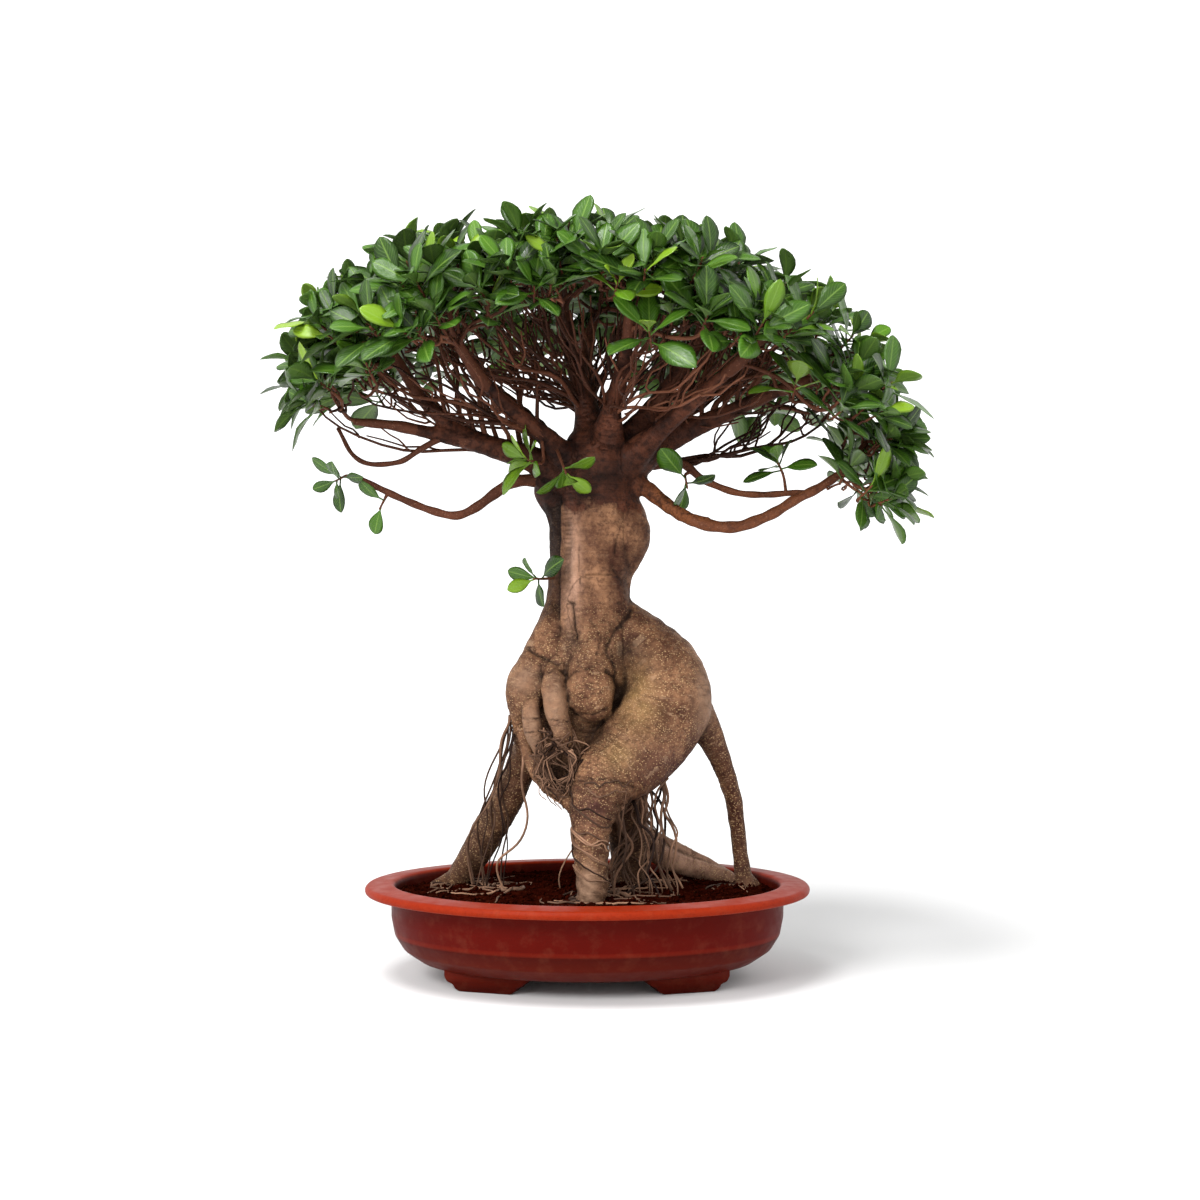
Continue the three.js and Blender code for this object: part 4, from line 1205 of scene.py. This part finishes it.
def soil_roots():
    """Thin roots that wander over the soil from the feet of the legs."""
    feet = ((-150, 50), (-10, -70), (32, 44), (150, 42), (20, -38), (-92, 4))
    for n in range(60):
        x, y = feet[n % len(feet)] + chances(n + 500, (-14, 14), (-14, 14))
        heading, turning = chances(n + 560, (0, 2 * math.pi), (-0.25, 0.25))
        line = []
        for k in range(14):
            line.append((x, y, soil_height(x, y) + 0.4 + 0.8 * draw(n + 9 * k)))
            heading += turning + 0.9 * (draw(n * 17 + k) - 0.5)
            x = np.clip(x + 5.5 * math.cos(heading), POT_X - 165, POT_X + 165)
            y = np.clip(y + 5.5 * math.sin(heading), -84, 84)
        yield np.array(line), *chances(n + 620, (0.8, 1.9), (0.5, 0.8))


def build_rootlets(paint, rootstock):
    skin = BVHTree.FromObject(rootstock, bpy.context.evaluated_depsgraph_get())
    bag = Bag()
    groups = ((hanging_roots(skin), 1), (left_roots(skin), 0.3), (clinging_roots(skin), 0.9),
              (soil_roots(), 1))
    for roots, palest in groups:
        for i, (line, thick, thin) in enumerate(roots):
            bag.strand(line, thick, thin, 6, i, palest * draw(i + 8000), 0.06)
    bag.finish("rootlets", paint, ["tree"])


# Leaves


def leaf_points(length, width, fold, arch, curl):
    """One closed leaf along +X: its stalk, then an obovate blade, folded along the midrib and bent down."""
    petiole = PETIOLE * length / LEAF_LENGTH
    t = np.maximum(LEAF_ROWS, 0)
    run = np.where(LEAF_ROWS < 0, petiole * (1 + LEAF_ROWS), petiole + length * t)
    half = np.maximum(np.sin(math.pi * t ** 1.35) ** 0.62 * width / 2, 0.9)
    half[-1] = 0.25
    x = np.repeat(run[:, None], len(LEAF_COLUMNS), axis=1)
    y = half[:, None] * LEAF_COLUMNS
    bend = -arch * length * (t ** 2)[:, None]
    ripple = curl * np.sin(t * 9)[:, None] * np.abs(LEAF_COLUMNS) * half[:, None] * 0.12
    z = fold * np.abs(y) - 0.12 * fold * y * y / width + bend + ripple
    thick = np.where(LEAF_ROWS < 0.05, 0.85, LEAF_HALF_THICK)[:, None] * np.sqrt(1 - LEAF_COLUMNS ** 2)
    top, bottom = (np.stack([x, y, z + side * thick], axis=-1).reshape(-1, 3) for side in (1, -1))
    return np.concatenate([top, bottom[LEAF_UNDER]])


def leaf_faces():
    """Top and bottom sheets that share their rim."""
    rows, columns = len(LEAF_ROWS), len(LEAF_COLUMNS)
    over = np.arange(rows * columns).reshape(rows, columns)
    under = over.copy()
    under[:, 1:-1] = rows * columns + np.arange(rows * (columns - 2)).reshape(rows, columns - 2)
    over, under = over.tolist(), under.tolist()
    faces = []
    for i in range(rows - 1):
        for k in range(columns - 1):
            faces.append((over[i][k], over[i + 1][k], over[i + 1][k + 1], over[i][k + 1]))
            faces.append((under[i][k], under[i][k + 1], under[i + 1][k + 1], under[i + 1][k]))
    for i in (0, rows - 1):
        for k in range(columns - 1):
            quad = [over[i][k], over[i][k + 1], under[i][k + 1], under[i][k]]
            faces.append(tuple(dict.fromkeys(quad if i == 0 else reversed(quad))))
    return faces


LEAF_FACES = leaf_faces()
LEAF_UNDER = [i * len(LEAF_COLUMNS) + k for i in range(len(LEAF_ROWS)) for k in (1, 2, 3)]
LEAF_SIDE = np.repeat([0, 1], [len(LEAF_ROWS) * len(LEAF_COLUMNS), len(LEAF_UNDER)])
LEAF_ACROSS, LEAF_ALONG = (np.concatenate([values, values[LEAF_UNDER]]) for values in (
    np.abs(np.tile(LEAF_COLUMNS, len(LEAF_ROWS))), np.repeat(np.maximum(LEAF_ROWS, 0), len(LEAF_COLUMNS))))


def leaf_axes(aim, turn, lean, roll):
    """A leaf's own axes on a shoot: outward, across and up."""
    side = np.cross((0.0, 0.0, 1.0), aim)
    side = unit(side if np.linalg.norm(side) > 0.1 else (1.0, 0.0, 0.0))
    outward = side * math.cos(turn) + np.cross(aim, side) * math.sin(turn)
    along = unit(outward * math.sin(lean) + aim * math.cos(lean))
    up = unit(aim - along * aim.dot(along))
    across = np.cross(up, along)
    return along, across * math.cos(roll) + up * math.sin(roll), up * math.cos(roll) - across * math.sin(roll)


def add_leaves(bag, shoot):
    """The leaves of one shoot, the oldest and largest at its foot, each with its tone, youth and sides."""
    for k in range(shoot.leaves):
        n = shoot.seed * 31 + k
        age = 1 - k / shoot.leaves
        length = LEAF_LENGTH * shoot.size * (0.7 + 0.3 * age) * (0.84 + 0.34 * draw(n))
        width = LEAF_WIDTH * length / LEAF_LENGTH * (0.9 + 0.25 * draw(n + 71))
        lean = 0.42 + 0.88 * age + 0.4 * (draw(n + 13) - 0.5)
        axes = leaf_axes(shoot.aim, k * GOLDEN_ANGLE + shoot.seed * 1.7, lean, 0.7 * (draw(n + 29) - 0.5))
        at = shoot.at + shoot.aim * CORE_LENGTH * shoot.size * (0.2 + 0.75 * (1 - age))
        youth = min(1.0, shoot.young + (0.7 if k == shoot.leaves - 1 and draw(n + 3) > 0.5 else 0.0))
        points = leaf_points(length, width, 0.04 + 0.26 * draw(n + 41), 0.06 + 0.24 * draw(n + 500),
                             draw(n + 43) * 2 - 1)
        bag.add(at + points @ np.array(axes), LEAF_FACES, tone=draw(n + 47), youth=youth, across=LEAF_ACROSS,
                along_leaf=LEAF_ALONG, under=LEAF_SIDE)


def build_foliage(name, material, chosen, fills):
    """The leaves of the chosen shoots and of the smaller shoots round them."""
    nodes = [shoot.node for shoot in chosen]
    bag = Bag()
    for shoot in [*chosen, *(fill for fill in fills if fill.node in nodes)]:
        add_leaves(bag, shoot)
    bag.finish(f"foliage_{name}", material, nodes)


# The studio


def build_camera():
    data = bpy.data.cameras.new("camera")
    data.sensor_width = SENSOR
    data.lens = SENSOR * CAMERA_BACK / (MM_A_PIXEL * FRAME_PIXELS)
    camera = bpy.data.objects.new("camera", data)
    bpy.context.scene.collection.objects.link(camera)
    camera.location = (0, -CAMERA_BACK * MM, CAMERA_HEIGHT * MM)
    dip = math.atan((FRAME_PIXELS / 2 - HORIZON_ROW) * MM_A_PIXEL / CAMERA_BACK)
    camera.rotation_euler = (math.pi / 2 - dip, 0, 0)
    bpy.context.scene.camera = camera


def build_floor():
    """A white floor that curves up into a backdrop all round. It glows softly away from the plant."""
    paint = Paint("studio_white", roughness=0.9, specular=0.0)
    x, y = paint.axis("X"), paint.axis("Y")
    away = x * x + y * y
    far = away.span(3.2, 6.0)
    paint.tint(far, (0, 0, 0), ground=(218.24, 218.24, 218.24))
    paint.set("Emission Color", (1, 1, 1, 1))
    paint.set("Emission Strength", away.span(0.35, 3.2, 0.0, 0.62) + far * 0.8)
    profile = [(3000, 0), *((3000 + 2000 * math.sin(a), 2000 - 2000 * math.cos(a))
                            for a in np.linspace(0.1, math.pi / 2, 12)), (5000, 6000)]
    points = [(0, 0, 0), *((r * math.cos(a), r * math.sin(a), z) for r, z in profile for a in circle(64))]
    solid("floor", points, disc(len(profile), 64), paint.material)


def area_light(name, place, target, size, power):
    data = bpy.data.lights.new(name, "AREA")
    data.shape = "DISK"
    data.size = size
    data.energy = power
    light = bpy.data.objects.new(name, data)
    bpy.context.scene.collection.objects.link(light)
    light.location = place
    x, y, z = np.subtract(target, place)
    light.rotation_euler = (math.atan2(math.hypot(x, y), -z), 0, math.atan2(-x, y))


def build_light():
    """Two soft lights in front and a pale world."""
    world = bpy.data.worlds.new("world")
    bpy.context.scene.world = world
    world.use_nodes = True
    sky = world.node_tree.nodes["Background"].inputs
    sky["Color"].default_value = (1, 1, 1, 1)
    sky["Strength"].default_value = 0.42
    area_light("key", (-1.3, -2.2, 1.7), (0, 0, 0.35), 1.2, 60)
    area_light("top", (-0.7, -1.1, 3.2), (0, 0, 0.4), 1.3, 100)
    bpy.context.scene.view_settings.view_transform = "Standard"


def main():
    shoots = crown_shoots()
    fills = fill_shoots(shoots)
    sides = side_shoots()
    build_pot(pot_paint())
    build_soil(soil_paint())
    build_rootlets(rootlet_paint(), build_rootstock(bark_paint()))
    build_branches(twig_paint(), shoots, fills, fan_shoots(shoots), sides)
    leaves = leaf_paint()
    for face, front in (("front", True), ("rear", False)):
        for side, left in (("left", True), ("right", False)):
            chosen = [s for s in shoots if (s.at[0] < 0) == left and (s.at[1] < 0) == front]
            build_foliage(f"{side}_{face}", leaves, chosen, fills)
    build_foliage("low", leaves, [s for s in sides if s.young == 0], [])
    build_foliage("trunk", leaves, [s for s in sides if s.young > 0], [])
    build_camera()
    build_floor()
    build_light()


main()
